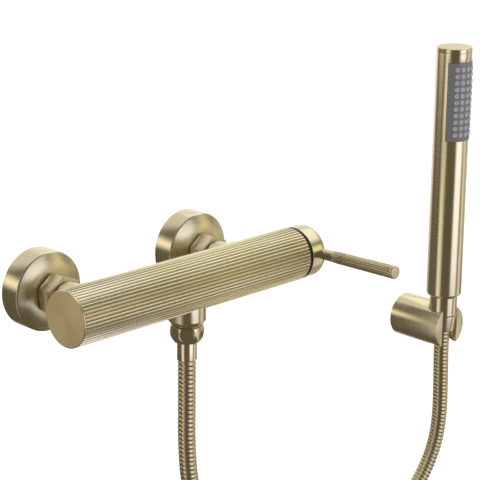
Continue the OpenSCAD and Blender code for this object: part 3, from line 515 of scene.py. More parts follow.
def round_the_axis(tree, axis, moved):
    """The direction of turning at each point, as a world vector, for a surface turned on a lathe."""
    first, second = [i for i in range(3) if i != axis]
    back = maths(tree, "MULTIPLY", moved[second], -1.0)
    way = add(tree, "ShaderNodeCombineXYZ", links={first: back, second: moved[first]})
    world_way = add(tree, "ShaderNodeVectorTransform", links={0: way.outputs[0]},
                    vector_type="VECTOR", convert_from="OBJECT", convert_to="WORLD")
    return add(tree, "ShaderNodeVectorMath", links={0: world_way.outputs[0]},
               operation="NORMALIZE").outputs[0]


def brushed_gold(name, axis, centre, twin=False, rough=0.27, end_rough=0.42, painted_groove_shade=None, brush=1.0,
                 painted_end_light=None):
    """Light-gold plating on turned brass, with scratches that run round the axis of the piece, so that
    a highlight is drawn out along the axis. The flat ends are duller. A brush of 0 leaves the scratches
    out, twin stands for an axis on either side of x = 0, painted_groove_shade is (radius from, radius to,
    colour) of painted shade that darkens the grooves, and painted_end_light tints the flat ends lighter
    with painted light."""
    material, tree, shader = new_material(name, Metallic=1.0, Anisotropic=ANISOTROPY * brush,
                                          Anisotropic_Rotation=ACROSS_SCRATCHES)
    coordinates = add(tree, "ShaderNodeTexCoord")
    where = coordinates.outputs["Object"]
    split = add(tree, "ShaderNodeSeparateXYZ", links={0: where})
    parts = [split.outputs[i] for i in range(3)]
    if twin:
        parts[0] = maths(tree, "ABSOLUTE", parts[0])
    moved = [maths(tree, "SUBTRACT", part, c * MM) for part, c in zip(parts, centre)]
    first, second = [i for i in range(3) if i != axis]
    flat = add(tree, "ShaderNodeCombineXYZ", links={0: moved[first], 1: moved[second]})
    radius = add(tree, "ShaderNodeVectorMath", links={0: flat.outputs[0]},
                 operation="LENGTH").outputs["Value"]

    drift = maths(tree, "MULTIPLY", moved[first], SCRATCH_DRIFT)
    lines = add(tree, "ShaderNodeCombineXYZ", links={0: moved[axis], 1: radius, 2: drift})
    scratch = add(tree, "ShaderNodeTexNoise",
                  {"Scale": 1 / (SCRATCH_MM * MM), "Detail": 3.0, "Roughness": 0.7},
                  {"Vector": lines.outputs[0]}).outputs[0]
    cloud = add(tree, "ShaderNodeTexNoise", {"Scale": CLOUDS_A_METRE, "Detail": 2.0},
                {"Vector": where}).outputs[0]
    cloud_share = 1 - 0.5 * brush
    both = add(tree, "ShaderNodeMix", {0: cloud_share}, {2: scratch, 3: cloud},
               data_type="FLOAT").outputs[0]
    tint = colour_mix(tree, both, DEEP_GOLD, LIGHT_GOLD)
    # Painted shade: the grooves darken towards their bottoms
    if painted_groove_shade:
        low, high, groove_shade_colour = painted_groove_shade
        depth = remapped(tree, radius, (low * MM, high * MM))
        tint = colour_mix(tree, depth, groove_shade_colour, tint)

    facing = add(tree, "ShaderNodeSeparateXYZ", links={0: coordinates.outputs["Normal"]})
    along = maths(tree, "ABSOLUTE", facing.outputs[axis])
    # Painted light: surfaces that face along the axis are tinted lighter
    if painted_end_light:
        tint = colour_mix(tree, remapped(tree, along, END_PAINTED_LIGHT_FACING), tint, painted_end_light)
    base = remapped(tree, along, END_GLOSS_FACING, rough, end_rough)
    glossy, dull = [brush * change for change in SCRATCH_GLOSS]
    gloss = maths(tree, "ADD", base, remapped(tree, scratch, SCRATCH_LEVELS, glossy, dull))
    bump = add(tree, "ShaderNodeBump",
               {"Strength": SCRATCH_BUMP * brush, "Distance": SCRATCH_DEPTH_MM * MM},
               {"Height": scratch})
    tree.links.new(tint, shader.inputs["Base Color"])
    tree.links.new(gloss, shader.inputs["Roughness"])
    tree.links.new(bump.outputs[0], shader.inputs["Normal"])
    tree.links.new(round_the_axis(tree, axis, moved), shader.inputs["Tangent"])
    return material


# How grain shows in the colour, gloss and surface of moulded or cast stock
GRAIN_SHADE = 0.86
GRAIN_GLOSS = 0.06
GRAIN_BUMP = 0.3
GRAIN_DEPTH_MM = 0.012


def moulded(name, code, rough, grain_mm=0.4, metallic=0.0):
    """Moulded, cast or turned stock with a fine grain in its colour, gloss and surface."""
    material, tree, shader = new_material(name, Metallic=metallic)
    where = add(tree, "ShaderNodeTexCoord").outputs["Object"]
    grain = add(tree, "ShaderNodeTexNoise", {"Scale": 1 / (grain_mm * MM), "Detail": 2.0},
                {"Vector": where})
    colour = linear(code)
    low = tuple(c * GRAIN_SHADE for c in colour[:3]) + (1,)
    tint = add(tree, "ShaderNodeMix", {6: low, 7: colour}, {0: grain.outputs[0]}, data_type="RGBA")
    gloss = add(tree, "ShaderNodeMapRange", {3: rough - GRAIN_GLOSS, 4: rough + GRAIN_GLOSS},
                {0: grain.outputs[0]})
    bump = add(tree, "ShaderNodeBump", {"Strength": GRAIN_BUMP, "Distance": GRAIN_DEPTH_MM * MM},
               {"Height": grain.outputs[0]})
    tree.links.new(tint.outputs[2], shader.inputs["Base Color"])
    tree.links.new(gloss.outputs[0], shader.inputs["Roughness"])
    tree.links.new(bump.outputs[0], shader.inputs["Normal"])
    return material


# The axis that a gold's pieces are turned about: along the bar, out of the wall, or up
ALONG, OUT, UP = 0, 1, 2
BAR_AXIS = (0, -BAR_OUT, BAR_Z)
# The bar's flute grooves get painted shade
gold_bar = brushed_gold("brushed_gold_bar", ALONG, BAR_AXIS, rough=0.24, brush=0.0,
                        painted_groove_shade=(BAR_R - FLUTE_DEPTH, BAR_R - 0.3, PAINTED_GROOVE_SHADE_GOLD))
# The cap's flat ends get painted light
gold_cap = brushed_gold("brushed_gold_cap", ALONG, BAR_AXIS, rough=0.22, end_rough=0.62, brush=0.6,
                        painted_end_light=PAINTED_END_LIGHT_GOLD)
gold_rose = brushed_gold("brushed_gold_rose", OUT, (INLET_X, 0, BAR_Z), twin=True, rough=0.23,
                         end_rough=0.32)
gold_lever = brushed_gold("brushed_gold_lever", OUT, (LEVER_X, 0, BAR_Z), rough=0.25, brush=0.0)
gold_outlet = brushed_gold("brushed_gold_outlet", UP, (OUTLET_X, -BAR_OUT, 0), rough=0.18, brush=0.4)
gold_handset = brushed_gold("brushed_gold_handset", UP, (HANDSET_X, -HANDSET_OUT, 0), rough=0.23)
gold_bracket = brushed_gold("brushed_gold_bracket", OUT, (HANDSET_X, 0, BAR_Z - BRACKET_DROP))
gold_hose = moulded("satin_gold_hose_strip", "#DDCFAC", 0.3, grain_mm=1.5, metallic=1.0)
raw_brass = moulded("turned_brass", "#C8A860", 0.35, metallic=1.0)
steel = moulded("turned_stainless_steel", "#C4C6C8", 0.3, metallic=1.0)
ceramic = moulded("lapped_alumina", "#EDEDE8", 0.2)
white_plastic = moulded("moulded_white_acetal", "#E4E4DE", 0.45)
black_plastic = moulded("moulded_black_abs", "#0E0D0B", 0.5)
black_rubber = moulded("black_epdm_rubber", "#17181A", 0.7)
plate_grey = moulded("moulded_grey_silicone_plate", "#6F6D70", 0.36, grain_mm=0.3)
nozzle_pale = moulded("pale_silicone_nozzles", "#A3A4AD", 0.4, grain_mm=0.3)

SLOT_MATERIALS = {
    "brushed_gold": gold_bar, "hose_gold": gold_hose, "raw_brass": raw_brass, "steel": steel,
    "ceramic": ceramic, "white_plastic": white_plastic, "black_plastic": black_plastic,
    "black_rubber": black_rubber, "spray_grey": plate_grey, "nozzle_silicone": nozzle_pale,
}


def dress_cad_nodes():
    """Every CAD node gets the material of its slot; pieces made below then stand for the visible ones."""
    for part in frame["record"]["subparts"]:
        dress(frame["nodes"][part["node"]], SLOT_MATERIALS[part["material_slot"]])


dress_cad_nodes()

# Hose

hose, hose_path, hose_length = make_hose()
dress(hose, gold_hose)
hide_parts("hose_mixer_side", "hose_coil", "hose_handset_side")
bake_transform(hose)


def stadium_loop(bm, width, height, steps=10):
    """The edges of a flat loop with straight sides and half-round ends."""
    r = height / 2
    points = []
    for side, start in ((1, -90), (-1, 90)):
        for k in range(steps + 1):
            a = math.radians(start + 180 * k / steps)
            points.append((side * (width / 2 - r) + r * math.cos(a), r * math.sin(a), 0))
    verts = [bm.verts.new(p) for p in points]
    return [bm.edges.new((verts[i - 1], verts[i])) for i in range(len(verts))]


def make_hose_tie():
    """A rubber band round the three strands at the foot of the coil."""
    wide = 2 * COIL_PITCH + 2 * HOSE_R
    tall = 2 * HOSE_R
    gap, strap, length, lift, soft_edge = 0.5, 1.6, 12.0, 0.1, 0.35
    bm = bmesh.new()
    inner = stadium_loop(bm, wide + 2 * gap, tall + 2 * gap)
    outer = stadium_loop(bm, wide + 2 * (gap + strap), tall + 2 * (gap + strap))
    ring = bmesh.ops.bridge_loops(bm, edges=inner + outer)["faces"]
    grown = bmesh.ops.extrude_face_region(bm, geom=ring)["geom"]
    top = [g for g in grown if isinstance(g, bmesh.types.BMVert)]
    bmesh.ops.translate(bm, verts=top, vec=(0, 0, length))
    bmesh.ops.recalc_face_normals(bm, faces=bm.faces)
    break_edges(bm, sharp_edges(bm, SQUARE_EDGE), soft_edge)
    height_to_x = Matrix(((0, 0, 1, 0), (1, 0, 0, 0), (0, 1, 0, 0), (0, 0, 0, 1)))
    put = Matrix.Translation(COIL_CENTRE + Vector((-length / 2, 0, -COIL_R + lift))) @ height_to_x
    bmesh.ops.transform(bm, matrix=put, verts=bm.verts)
    return piece("rubber_hose_tie", bm)


place(make_hose_tie(), "root", black_rubber, "black_rubber", "hose_tie")

# Bar

LAND_ROUNDING = 0.12
GROOVE_FULLNESS = 0.75
STEPS_A_FLUTE = 12


def flute_rule(r, depth, count, groove_share):
    """Radius round a fluted rod: rounded lands with hollow grooves between them."""
    def rule(angle):
        phase = (angle * count / TURN) % 1
        away = abs(phase - 0.5) * 2
        if away > groove_share:
            to_land = (away - groove_share) / (1 - groove_share) - 1
            return r - LAND_ROUNDING * depth * to_land ** 2
        hollow = (1 - (away / groove_share) ** 2) ** GROOVE_FULLNESS
        return r - depth * (LAND_ROUNDING + (1 - LAND_ROUNDING) * hollow)
    return rule


def bar_shell():
    groove_share, lip, lip_l = 0.62, 0.35, 0.4
    plug_r, nut_r, base_r, nut_seat, base_seat = 8.05, 14.05, 12.55, 115, 92
    flutes = flute_rule(BAR_R, FLUTE_DEPTH, FLUTES, groove_share)
    low = flute_rule(BAR_R - lip, FLUTE_DEPTH * 0.6, FLUTES, groove_share)
    left = BAR_LEFT + CAP_DISC
    bm = bmesh.new()
    stacked(bm, FLUTES * STEPS_A_FLUTE, [
        (left, plug_r), (left, low), (left + lip_l, flutes), (BAR_RIGHT - lip_l, flutes),
        (BAR_RIGHT, low), (BAR_RIGHT, nut_r), (nut_seat, nut_r), (nut_seat, base_r), (base_seat, base_r),
    ], along_bar())
    return bm


def inlet_stub(x):
    """A stub with a flared root, its inner end deep inside the bar."""
    r, flare, flare_end = STUB_R, 3.2, BAR_OUT - 20.2
    bore_end, inner_end = STUB_END + 4, BAR_OUT - 8
    outline = [(0, bore_end), (TAIL_R, bore_end), (TAIL_R, STUB_END), (r, STUB_END),
               (r, flare_end - flare), (r + flare, flare_end + 1.5), (r + flare, inner_end), (0, inner_end)]
    bm = bmesh.new()
    soft = softened(outline, [0, 0, 0, 2.2, 4, 1, 0, 0], steps=6)
    turned(bm, soft, steps=64, at=out_of_wall(x, BAR_Z))
    return bm


def outlet_boss():
    r, bore_r, wide, tall = 14.3, 8.5, 3.0, 4.2
    low, bore_end, inner_end = BOSS_LOW, BOSS_LOW + 3, -5
    outline = [(0, bore_end), (bore_r, bore_end), (bore_r, low), (r - wide, low), (r, low + tall),
               (r, inner_end), (0, inner_end)]
    bm = bmesh.new()
    turned(bm, softened(outline, [0, 0, 0, 0.4, 0.7, 0, 0], steps=6), steps=72, at=under_bar())
    return bm


bar = carved("fluted_bar", bar_shell(), joins=[inlet_stub(-INLET_X), inlet_stub(INLET_X), outlet_boss()])
place(bar, "root", gold_bar, "brushed_gold", "fluted_body")


def simple_turned(name, outline, radii, at, steps=96):
    bm = bmesh.new()
    turned(bm, softened(outline, radii), steps, at)
    return piece(name, bm)


def make_end_cap():
    rim, edge, plug_r = BAR_R - 0.1, 0.5, 8
    disc_end, plug_end = BAR_LEFT + CAP_DISC, BAR_LEFT + 7.7
    outline = [(0, BAR_LEFT), (rim - edge, BAR_LEFT), (rim, BAR_LEFT + edge), (rim, disc_end),
               (plug_r, disc_end), (plug_r, plug_end), (0, plug_end)]
    return simple_turned("bar_end_cap", outline, [0, 0.3, 0.3, 0.1, 0, 0.4, 0], along_bar())


place(make_end_cap(), "root", gold_cap, "brushed_gold", "end_cap")

# Inlets

ROSE_HOLE_R = 12.65


def wall_rose(name, x):
    """A hollow rose: a straight side, a domed front and a sleeve round the wall union."""
    r, side, face, wall, edge = 30.0, 17.3, 21.9, 1.2, 0.8
    hole, flat, sleeve = ROSE_HOLE_R, 3, 5
    rim, inside = r - edge, r - wall
    outline = [(inside, 0), (r, 0), (r, side - edge), (rim, side)]
    dome = (0.15, 0.3, 0.45, 0.6, 0.75, 0.9)
    for t in dome:
        outline.append((rim - (rim - hole - flat) * t, side + (face - side) * math.sin(t * QUARTER)))
    outline += [(hole + flat, face), (hole, face), (hole, face - sleeve), (hole + flat, face - sleeve),
                (hole + 5, face - wall - 2.2), (inside - 3, side - wall), (inside, side - wall - 2),
                (inside, 0)]
    radii = [0, 0.15, 0.4, 0.4] + [0] * len(dome) + [0.3, 0.3] + [0] * 6
    return simple_turned(name, outline, radii, out_of_wall(x, BAR_Z), steps=128)


for name, x, node_name in (("wall_rose_left", -INLET_X, "wall_rose_hot"),
                           ("wall_rose_right", INLET_X, "wall_rose_cold")):
    place(wall_rose(name, x), "root", gold_rose, "brushed_gold", node_name)


def corner_radius(flats):
    """From the axis of a hexagon to its corners."""
    return flats / 2 / math.cos(TURN / 12)


def hex_bar(flats, low, high, at, corner):
    """A hexagonal bar with one corner at the given angle, in radians."""
    bm = bmesh.new()
    put = at @ Matrix.Rotation(corner - QUARTER, 4, "Z")
    reach = corner_radius(flats)
    stacked(bm, 6, [(low, reach), (high, reach)], put)
    return bm


def union_nut(x):
    """A hexagonal nut whose chamfers are cut as cones."""
    back, front, flats, collar = 22.9, 35.9, 28.0, 31.5
    corner_angle = math.radians(97)
    full, chamfered, chamfer_l = corner_radius(flats) + 0.1, corner_radius(flats) - 1.0, 0.7
    at = out_of_wall(x, BAR_Z)
    round_part = bmesh.new()
    turned(round_part, [(ROSE_HOLE_R, back), (chamfered, back), (full, back + chamfer_l),
                        (full, front - chamfer_l), (chamfered, front), (TAIL_R, front),
                        (TAIL_R, collar), (ROSE_HOLE_R, collar), (ROSE_HOLE_R, back)],
           steps=72, at=at)
    hexagon = hex_bar(flats, back - 1, front + 1, at, corner_angle)
    return carved("union_nut", round_part, shared=[hexagon], bevel=0.28)


def make_union_nuts():
    """Both nuts are one piece, as one CAD node holds them."""
    bm = bmesh.new()
    for x in (-INLET_X, INLET_X):
        nut = union_nut(x)
        bm.from_mesh(nut.data)
        bpy.data.objects.remove(nut)
    return meshed("union_nut_pair", bm)


place(make_union_nuts(), "root", gold_rose, "brushed_gold", "union_nuts")

# Handle


def make_handle_cap():
    """A cap with a round shoulder, and a hollow inner face struck from the pivot of the lever."""
    bm = bmesh.new()
    sphere = math.hypot(CAP_X - PIVOT_X, CAP_R)
    start = math.asin(CAP_R / sphere)
    inner = CAP_R - CAP_SHOULDER
    rise = CAP_END - CAP_SIDE_END - CAP_SHOULDER
    socket_r, socket_end = 3.25, CAP_END - 2
    outline = [(0, socket_end), (socket_r, socket_end), (socket_r, PIVOT_X + sphere - 0.2)]
    sphere_steps, shoulder_steps = 20, 8
    for k in range(2, sphere_steps):
        a = start * k / sphere_steps
        outline.append((sphere * math.sin(a), PIVOT_X + sphere * math.cos(a)))
    outline += [(CAP_R - 0.22, CAP_X + 0.14), (CAP_R, CAP_X + 0.45)]
    for k in range(shoulder_steps + 1):
        a = QUARTER * (1 - k / shoulder_steps)
        outline.append((inner + CAP_SHOULDER * math.sin(a), CAP_SIDE_END + CAP_SHOULDER * math.cos(a)))
    for t in (0.75, 0.5, 0.25):
        outline.append((inner * t, CAP_END - rise * t * t))
    outline.append((0, CAP_END))
    turned(bm, outline, steps=128, at=along_bar())
    return piece("handle_cap_shell", bm)


place(make_handle_cap(), "handle", gold_cap, "brushed_gold", "handle_cap")


def make_lever():
    """A plain neck, then a fluted grip that widens to its tip."""
    root, tip, neck_end, seat, stem_r = 4.4, 5.1, 31.0, CAP_R - 4.4, 1.95
    count, depth, groove_share, step, step_l = 16, 0.5, 0.66, 0.3, 0.7
    end = LEVER_REACH

    def grip(s, inset=0.0):
        r = root + step + (tip - root - step) * (s - neck_end) / (end - neck_end)
        return flute_rule(r - inset, depth, count, groove_share)

    loops = [(seat, stem_r), (seat, root), (24.0, root), (neck_end, root), (neck_end + 0.25, root + 0.22),
             (neck_end + step_l, grip(neck_end + step_l, 0.05))]
    for s in (40, 55, 70, 85, end - 0.6):
        loops.append((s, grip(s)))
    loops += [(end - 0.45, tip - 0.12), (end - 0.12, tip - 0.32), (end, tip - 0.6)]
    bm = bmesh.new()
    stacked(bm, count * STEPS_A_FLUTE, loops, lever_frame())
    return piece("pin_lever", bm, sharp=40)


place(make_lever(), "handle", gold_lever, "brushed_gold", "lever")

# Outlet


def make_ball_nut():
    """A ball cut by a hexagon, which leaves six round flats."""
    mid, top, low, r, flats = -35.7, BOSS_LOW - 0.3, -43.9, 12.85, 22.6
    bore_r, bore_end, hose_r, steps = 9.85, -41.4, 6.0, 28
    corner_angle = math.radians(259.5)
    first = math.asin((top - mid) / r)
    last = math.asin((low - mid) / r)
    outline = [(bore_r, bore_end), (bore_r, top)]
    for k in range(steps + 1):
        a = first + (last - first) * k / steps
        outline.append((r * math.cos(a), mid + r * math.sin(a)))
    outline += [(hose_r, low), (hose_r, bore_end), (bore_r, bore_end)]
    ball = bmesh.new()
    turned(ball, outline, at=under_bar())
    hexagon = hex_bar(flats, low - 1, top + 1, under_bar(), corner_angle)
    return carved("ball_hose_nut", ball, shared=[hexagon], bevel=0.12)


def make_ferrule():
    r, bore_r, top, low = 7.5, 4.05, FERRULE_TOP, FERRULE_LOW
    outline = [(bore_r, top), (r - 0.6, top), (r, top - 0.6), (r, low + 0.7), (r - 0.5, low),
               (bore_r, low), (bore_r, top)]
    radii = [0, 0.4, 0.5, 0.5, 0.3, 0, 0]
    return simple_turned("crimped_ferrule", outline, radii, under_bar(), steps=64)


place(make_ball_nut(), "root", gold_outlet, "brushed_gold", "ball_nut")
place(make_ferrule(), "root", gold_outlet, "brushed_gold", "ferrule")

# Handset, as heights above the axis of the bar

CONE_TOP = -110.0
CONE_LOW = -124.6
NECK_TOP = -92.4
TUBE_LOW = NECK_TOP + 1.15
HANDSET_TOP = 131.6
TUBE_TOP = 127.6
SPRAY_HIGH = 119.7
SPRAY_LOW = 51.0
SPRAY_WRAP = 139.0
NECK_R = 12.25
NECK_EDGE_R = 11.9


def make_cone_nut():
    hose_r, low_r, edge_r, thread_r, thread_end = 7.1, 10.3, 10.95, 9.95, CONE_TOP - 13.0
    outline = [(hose_r, CONE_LOW), (low_r, CONE_LOW), (edge_r, CONE_LOW + 0.7), (NECK_R, CONE_TOP - 0.5),
               (NECK_EDGE_R, CONE_TOP), (thread_r, CONE_TOP), (thread_r, thread_end),
               (hose_r, thread_end), (hose_r, CONE_LOW)]
    radii = [0, 0.4, 0.3, 0.3, 0, 0, 0, 0, 0]
    return simple_turned("cone_nut_shell", outline, radii, at_handset())


def make_handset_neck():
    """A threaded end for the cone nut, the neck, and a plug that fills the foot of the tube."""
    bore, thread_r, thread_low, low = 5.0, 9.9, CONE_TOP - 9.2, CONE_TOP + 0.35
    plug_r, socket_r, plug_top = 13.95, 6.05, NECK_TOP + 10
    brim_low_r, brim_r, brim = 13.2, 14.15, TUBE_LOW - 0.05
    outline = [(bore, thread_low), (thread_r, thread_low), (thread_r, low), (NECK_EDGE_R, low),
               (NECK_R, CONE_TOP + 0.8), (NECK_R, NECK_TOP), (brim_low_r, NECK_TOP), (brim_r, brim),
               (plug_r, brim), (plug_r, plug_top), (socket_r, plug_top), (socket_r, NECK_TOP),
               (bore, NECK_TOP), (bore, thread_low)]
    radii = [0, 0.3, 0, 0.2, 0.3, 0, 0.15, 0, 0, 0, 0, 0, 0, 0]
    return simple_turned("handset_neck_shell", outline, radii, at_handset())


place(make_cone_nut(), "handset", gold_handset, "brushed_gold", "cone_nut")
place(make_handset_neck(), "handset", gold_handset, "brushed_gold", "handset_neck")


def sector(bm, r_in, r_out, low, high, wrap, at, steps=48):
    """A curved slab round the handset that faces out of the wall."""
    start = math.radians(270 - wrap / 2)
    corners = [(r_in, low), (r_out, low), (r_out, high), (r_in, high)]
    verts = [bm.verts.new((r * math.cos(start), r * math.sin(start), z)) for r, z in corners]
    face = bm.faces.new(verts)
    bmesh.ops.spin(bm, geom=[face], cent=(0, 0, 0), axis=(0, 0, 1),
                   angle=math.radians(wrap), steps=steps, use_duplicate=False)
    bmesh.ops.recalc_face_normals(bm, faces=bm.faces)
    bmesh.ops.transform(bm, matrix=at, verts=bm.verts)


LID_GROOVE = 0.15


def make_handset_tube():
    r, bore = HANDSET_R, 14.0
    outline = [(bore, TUBE_LOW), (bore + 0.2, TUBE_LOW), (r, NECK_TOP + 2.8), (r, TUBE_TOP - LID_GROOVE),
               (r - LID_GROOVE, TUBE_TOP), (bore, TUBE_TOP), (bore, TUBE_LOW)]
    tube = bmesh.new()
    turned(tube, softened(outline, [0, 0, 0.5, 0, 0, 0, 0]), steps=128, at=at_handset())
    window = bmesh.new()
    inside, outside = bore - 2, bore + 4
    sector(window, inside, outside, SPRAY_LOW, SPRAY_HIGH, SPRAY_WRAP, at_handset())
    return carved("handset_tube_shell", tube, cuts=[window], bevel=0.12, sharp=40)


def make_top_cap():
    r, plug_r, plug_low, low = HANDSET_R, 13.9, TUBE_TOP - 6, TUBE_TOP + 0.1
    outline = [(0, plug_low), (plug_r, plug_low), (plug_r, low), (r - LID_GROOVE, low), (r, low + 0.2),
               (r, HANDSET_TOP - 0.5), (r - 0.6, HANDSET_TOP), (0, HANDSET_TOP)]
    return simple_turned("handset_top_cap", outline, [0, 0, 0, 0, 0, 0.4, 0.4, 0], at_handset())


place(make_handset_tube(), "handset", gold_handset, "brushed_gold", "handset_tube")
place(make_top_cap(), "handset", gold_handset, "brushed_gold", "top_cap")

# Spray plate and its nozzles

NOZZLE_ROWS = 11
NOZZLE_COLUMNS = 5
NOZZLE_PITCH = 5.7
NOZZLE_TURN = 19.7
PLATE_R = HANDSET_R + 0.5
PLATE_BACK_R = 13.25


def make_spray_plate():
    gap, wrap = 0.15, SPRAY_WRAP - 0.8
    bm = bmesh.new()
    sector(bm, PLATE_BACK_R, PLATE_R, SPRAY_LOW + gap, SPRAY_HIGH - gap, wrap, at_handset())
    break_edges(bm, sharp_edges(bm, SQUARE_EDGE), offset=0.3, segments=3)
    return piece("spray_face_plate", bm)


def make_nozzles():
    """Each nozzle is a raised ring with a small hole, moulded in one mat with the others."""
    mat_r, mat_back_r, mat_inset, mat_wrap = PLATE_BACK_R - 0.1, 12.2, 1, SPRAY_WRAP - 6
    nozzle_r, foot, top, hole_r, hole_end = 2.0, 13.0, PLATE_R + 0.5, 0.42, PLATE_R - 1.5
    bm = bmesh.new()
    sector(bm, mat_back_r, mat_r, SPRAY_LOW + mat_inset, SPRAY_HIGH - mat_inset, mat_wrap, ORIGIN)
    middle = (SPRAY_LOW + SPRAY_HIGH) / 2
    outline = [(0, foot), (nozzle_r, foot), (nozzle_r, PLATE_R + 0.1), (1.75, top), (0.95, top),
               (0.45, PLATE_R + 0.15), (hole_r, hole_end), (0, hole_end)]
    soft = softened(outline, [0, 0, 0.2, 0.25, 0.25, 0, 0, 0], steps=2)
    for row in range(NOZZLE_ROWS):
        for column in range(NOZZLE_COLUMNS):
            height = middle + (row - (NOZZLE_ROWS - 1) / 2) * NOZZLE_PITCH
            turn = math.radians((column - (NOZZLE_COLUMNS - 1) / 2) * NOZZLE_TURN)
            in_mat = Matrix.Translation((0, 0, height)) @ Matrix.Rotation(turn, 4, "Z")
            turned(bm, soft, steps=20, at=in_mat @ Matrix.Rotation(QUARTER, 4, "X"))
    bmesh.ops.transform(bm, matrix=at_handset(), verts=bm.verts)
    return piece("silicone_nozzles", bm)


place(make_spray_plate(), "handset", plate_grey, "spray_grey", "spray_plate")
place(make_nozzles(), "handset", nozzle_pale, "nozzle_silicone", "nozzle_mat")

# Bracket


def make_bracket():
    """A round block with a recess for its wall disc, a conical seat, a slot for the hose at the front
    and a hole for the grub screw below."""
    r, front, back_edge = 19.3, HANDSET_OUT + 8.4, 0.3
    recess_r, recess_end = 14.1, 20
    below, above = -150, -90
    seat_low_r, seat_top_r, slot_half, slot_front = 11.25, 12.6, 10.3, -12
    grub_r, grub_start, grub_end, grub_out = 2.05, 10, 21, -6
    centre = BAR_Z - BRACKET_DROP
    outline = [(recess_r, 0), (r - back_edge, 0), (r, back_edge), (r, front), (0, front),
               (0, recess_end), (recess_r, recess_end), (recess_r, 0)]
    solid = bmesh.new()
    soft = softened(outline, [0, 0.2, 0.2, 0, 0, 0, 0, 0])
    turned(solid, soft, steps=128, at=out_of_wall(HANDSET_X, centre))
    seat = bmesh.new()
    turned(seat, [(0, below), (seat_low_r, below), (seat_low_r, CONE_LOW), (seat_top_r, CONE_TOP),
                  (seat_top_r, above), (0, above)], at=at_handset())
    slot = bmesh.new()
    block(slot, (-slot_half, slot_front, below), (slot_half, 0, above), at_handset())
    grub = bmesh.new()
    downwards = Matrix.Translation((HANDSET_X, grub_out, centre)) @ Matrix.Rotation(TURN / 2, 4, "X")
    turned(grub, [(0, grub_start), (grub_r, grub_start), (grub_r, grub_end), (0, grub_end)],
           steps=24, at=downwards)
    return carved("slotted_bracket", solid, cuts=[seat, slot, grub], bevel=0.35, sharp=35)


place(make_bracket(), "root", gold_bracket, "brushed_gold", "bracket_body")

# Studio

FLOOR_PLACE = (0.5, 1.0, -0.475)
FLOOR_SIZE = 6
FLOOR_GLOW = 0.45
FLOOR_WHITE = "#F2F2F2"
WHITE = "#FFFFFF"


def seen_directly(tree):
    """1 where a ray comes from the camera, straight or through glass, and 0 elsewhere."""
    rays = add(tree, "ShaderNodeLightPath")
    return maths(tree, "MAXIMUM", rays.outputs["Is Camera Ray"], rays.outputs["Is Transmission Ray"])


def make_floor():
    """A matt floor under the hose, which glows a little to the camera so that it stays near white."""
    bm = bmesh.new()
    bmesh.ops.create_grid(bm, x_segments=1, y_segments=1, size=FLOOR_SIZE)
    bmesh.ops.translate(bm, verts=bm.verts, vec=FLOOR_PLACE)
    floor = meshed("floor", bm)
    material = bpy.data.materials.new("plain_pale_floor")
    material.use_nodes = True
    tree = material.node_tree
    tree.nodes.clear()
    strength = maths(tree, "MULTIPLY", seen_directly(tree), FLOOR_GLOW)
    matt = add(tree, "ShaderNodeBsdfDiffuse", {"Color": linear(FLOOR_WHITE)})
    glow = add(tree, "ShaderNodeEmission", {"Color": linear(WHITE)}, {"Strength": strength})
    both = add(tree, "ShaderNodeAddShader", links={0: matt.outputs[0], 1: glow.outputs[0]})
    out = add(tree, "ShaderNodeOutputMaterial", links={"Surface": both.outputs[0]})
    out.is_active_output = True
    floor.data.materials.append(material)
    floor.visible_glossy = False


make_floor()

# Soft boxes round the object, as (turn from, turn to, height from, height to, level, colour). A turn is
# in degrees from the way to the camera, towards the camera's right; a height is in degrees above level.
SOFT_BOXES = [
    (33, 76, -26, 30, 1.45, "#F6F4FF"),
    (82, 106, 0, 20, 1.20, "#FFF3C4"),
    (90, 118, -44, 4, 0.85, "#FFF6E4"),
    (-60, -32, -60, 60, 1.00, "#FFF6EA"),
    (-112, -74, 1, 19, 1.35, "#FFF6DC"),
    (142, 226, -18, 26, 1.05, "#FFF6F4"),
    (122, 234, -18, 26, 0.65, "#FFF6F0"),
    (94, 198, 28, 72, 1.20, "#FAFFF4"),
    (176, 250, 16, 72, 0.72, "#FFFAF4"),
    (160, 196, -46, -15, 1.00, "#FFFFFF"),
    (120, 160, -52, -28, 0.50, "#FFF0DC"),
    (-200, 200, 64, 120, 0.90, "#FFFFFF"),
]
DIM_LEVEL = 0.12
DIM_COLOUR = "#FFF0C8"
BOX_EDGE = math.radians(9)


def soft_band(tree, angle, low, high, level, wraps=False):
    """The level between two angles in degrees, falling to 0 outside them over a soft edge."""
    middle = math.radians((low + high) / 2)
    half = math.radians((high - low) / 2)
    off = maths(tree, "SUBTRACT", angle, middle)
    if wraps:
        off = add(tree, "ShaderNodeMath", {1: -math.pi, 2: math.pi}, {0: off}, operation="WRAP").outputs[0]
    away = maths(tree, "ABSOLUTE", off)
    return add(tree, "ShaderNodeMapRange", {1: half + BOX_EDGE, 2: half - BOX_EDGE, 3: 0.0, 4: level},
               {0: away}, interpolation_type="SMOOTHSTEP").outputs[0]


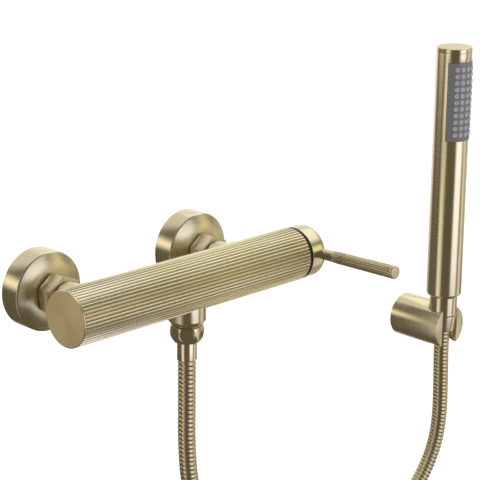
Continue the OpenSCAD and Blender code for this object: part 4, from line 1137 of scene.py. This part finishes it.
def make_world():
    """White to the camera; to the metal, soft boxes in a dim room."""
    world = bpy.data.worlds.new("studio")
    bpy.context.scene.world = world
    world.use_nodes = True
    tree = world.node_tree
    tree.nodes.clear()
    way = add(tree, "ShaderNodeTexCoord").outputs["Generated"]
    back = add(tree, "ShaderNodeVectorMath", {1: LEVEL_BACK}, {0: way}, operation="DOT_PRODUCT")
    right = add(tree, "ShaderNodeVectorMath", {1: LEVEL_RIGHT}, {0: way}, operation="DOT_PRODUCT")
    up = add(tree, "ShaderNodeSeparateXYZ", links={0: way})
    turn = maths(tree, "ARCTAN2", right.outputs["Value"], back.outputs["Value"])
    height = maths(tree, "ARCSINE", up.outputs[2])
    light = add(tree, "ShaderNodeRGB")
    light.outputs[0].default_value = tuple(c * DIM_LEVEL for c in linear(DIM_COLOUR)[:3]) + (1,)
    total = light.outputs[0]
    for left_end, right_end, low, high, level, code in SOFT_BOXES:
        across = soft_band(tree, turn, left_end, right_end, level, wraps=True)
        upright = soft_band(tree, height, low, high, 1.0)
        share = maths(tree, "MULTIPLY", across, upright)
        glow = add(tree, "ShaderNodeVectorMath", {0: linear(code)[:3]}, {3: share}, operation="SCALE")
        total = add(tree, "ShaderNodeVectorMath", links={0: total, 1: glow.outputs[0]},
                    operation="MAXIMUM").outputs[0]
    shown = colour_mix(tree, seen_directly(tree), total, WHITE)
    background = add(tree, "ShaderNodeBackground", {"Strength": 1.0}, {"Color": shown})
    add(tree, "ShaderNodeOutputWorld", links={"Surface": background.outputs[0]})


make_world()

# Two lamps for what isn't metal, hidden from reflections
LAMP_AIM_MM = (150, -60, 0)


def soft_lamp(name, place_mm, size, power):
    data = bpy.data.lights.new(name, "AREA")
    data.shape = "SQUARE"
    data.size = size
    data.energy = power
    lamp = new_object(name, data)
    at = Vector(place_mm) * MM
    aim = (Vector(LAMP_AIM_MM) * MM - at).to_track_quat("-Z", "Y")
    lamp.matrix_world = Matrix.Translation(at) @ aim.to_matrix().to_4x4()
    lamp.visible_glossy = False


soft_lamp("key_light", (-900, -1300, 1700), size=1.2, power=26)
soft_lamp("fill_light", (1500, -1200, 900), size=1.5, power=12)

bpy.context.scene.view_settings.view_transform = "Standard"
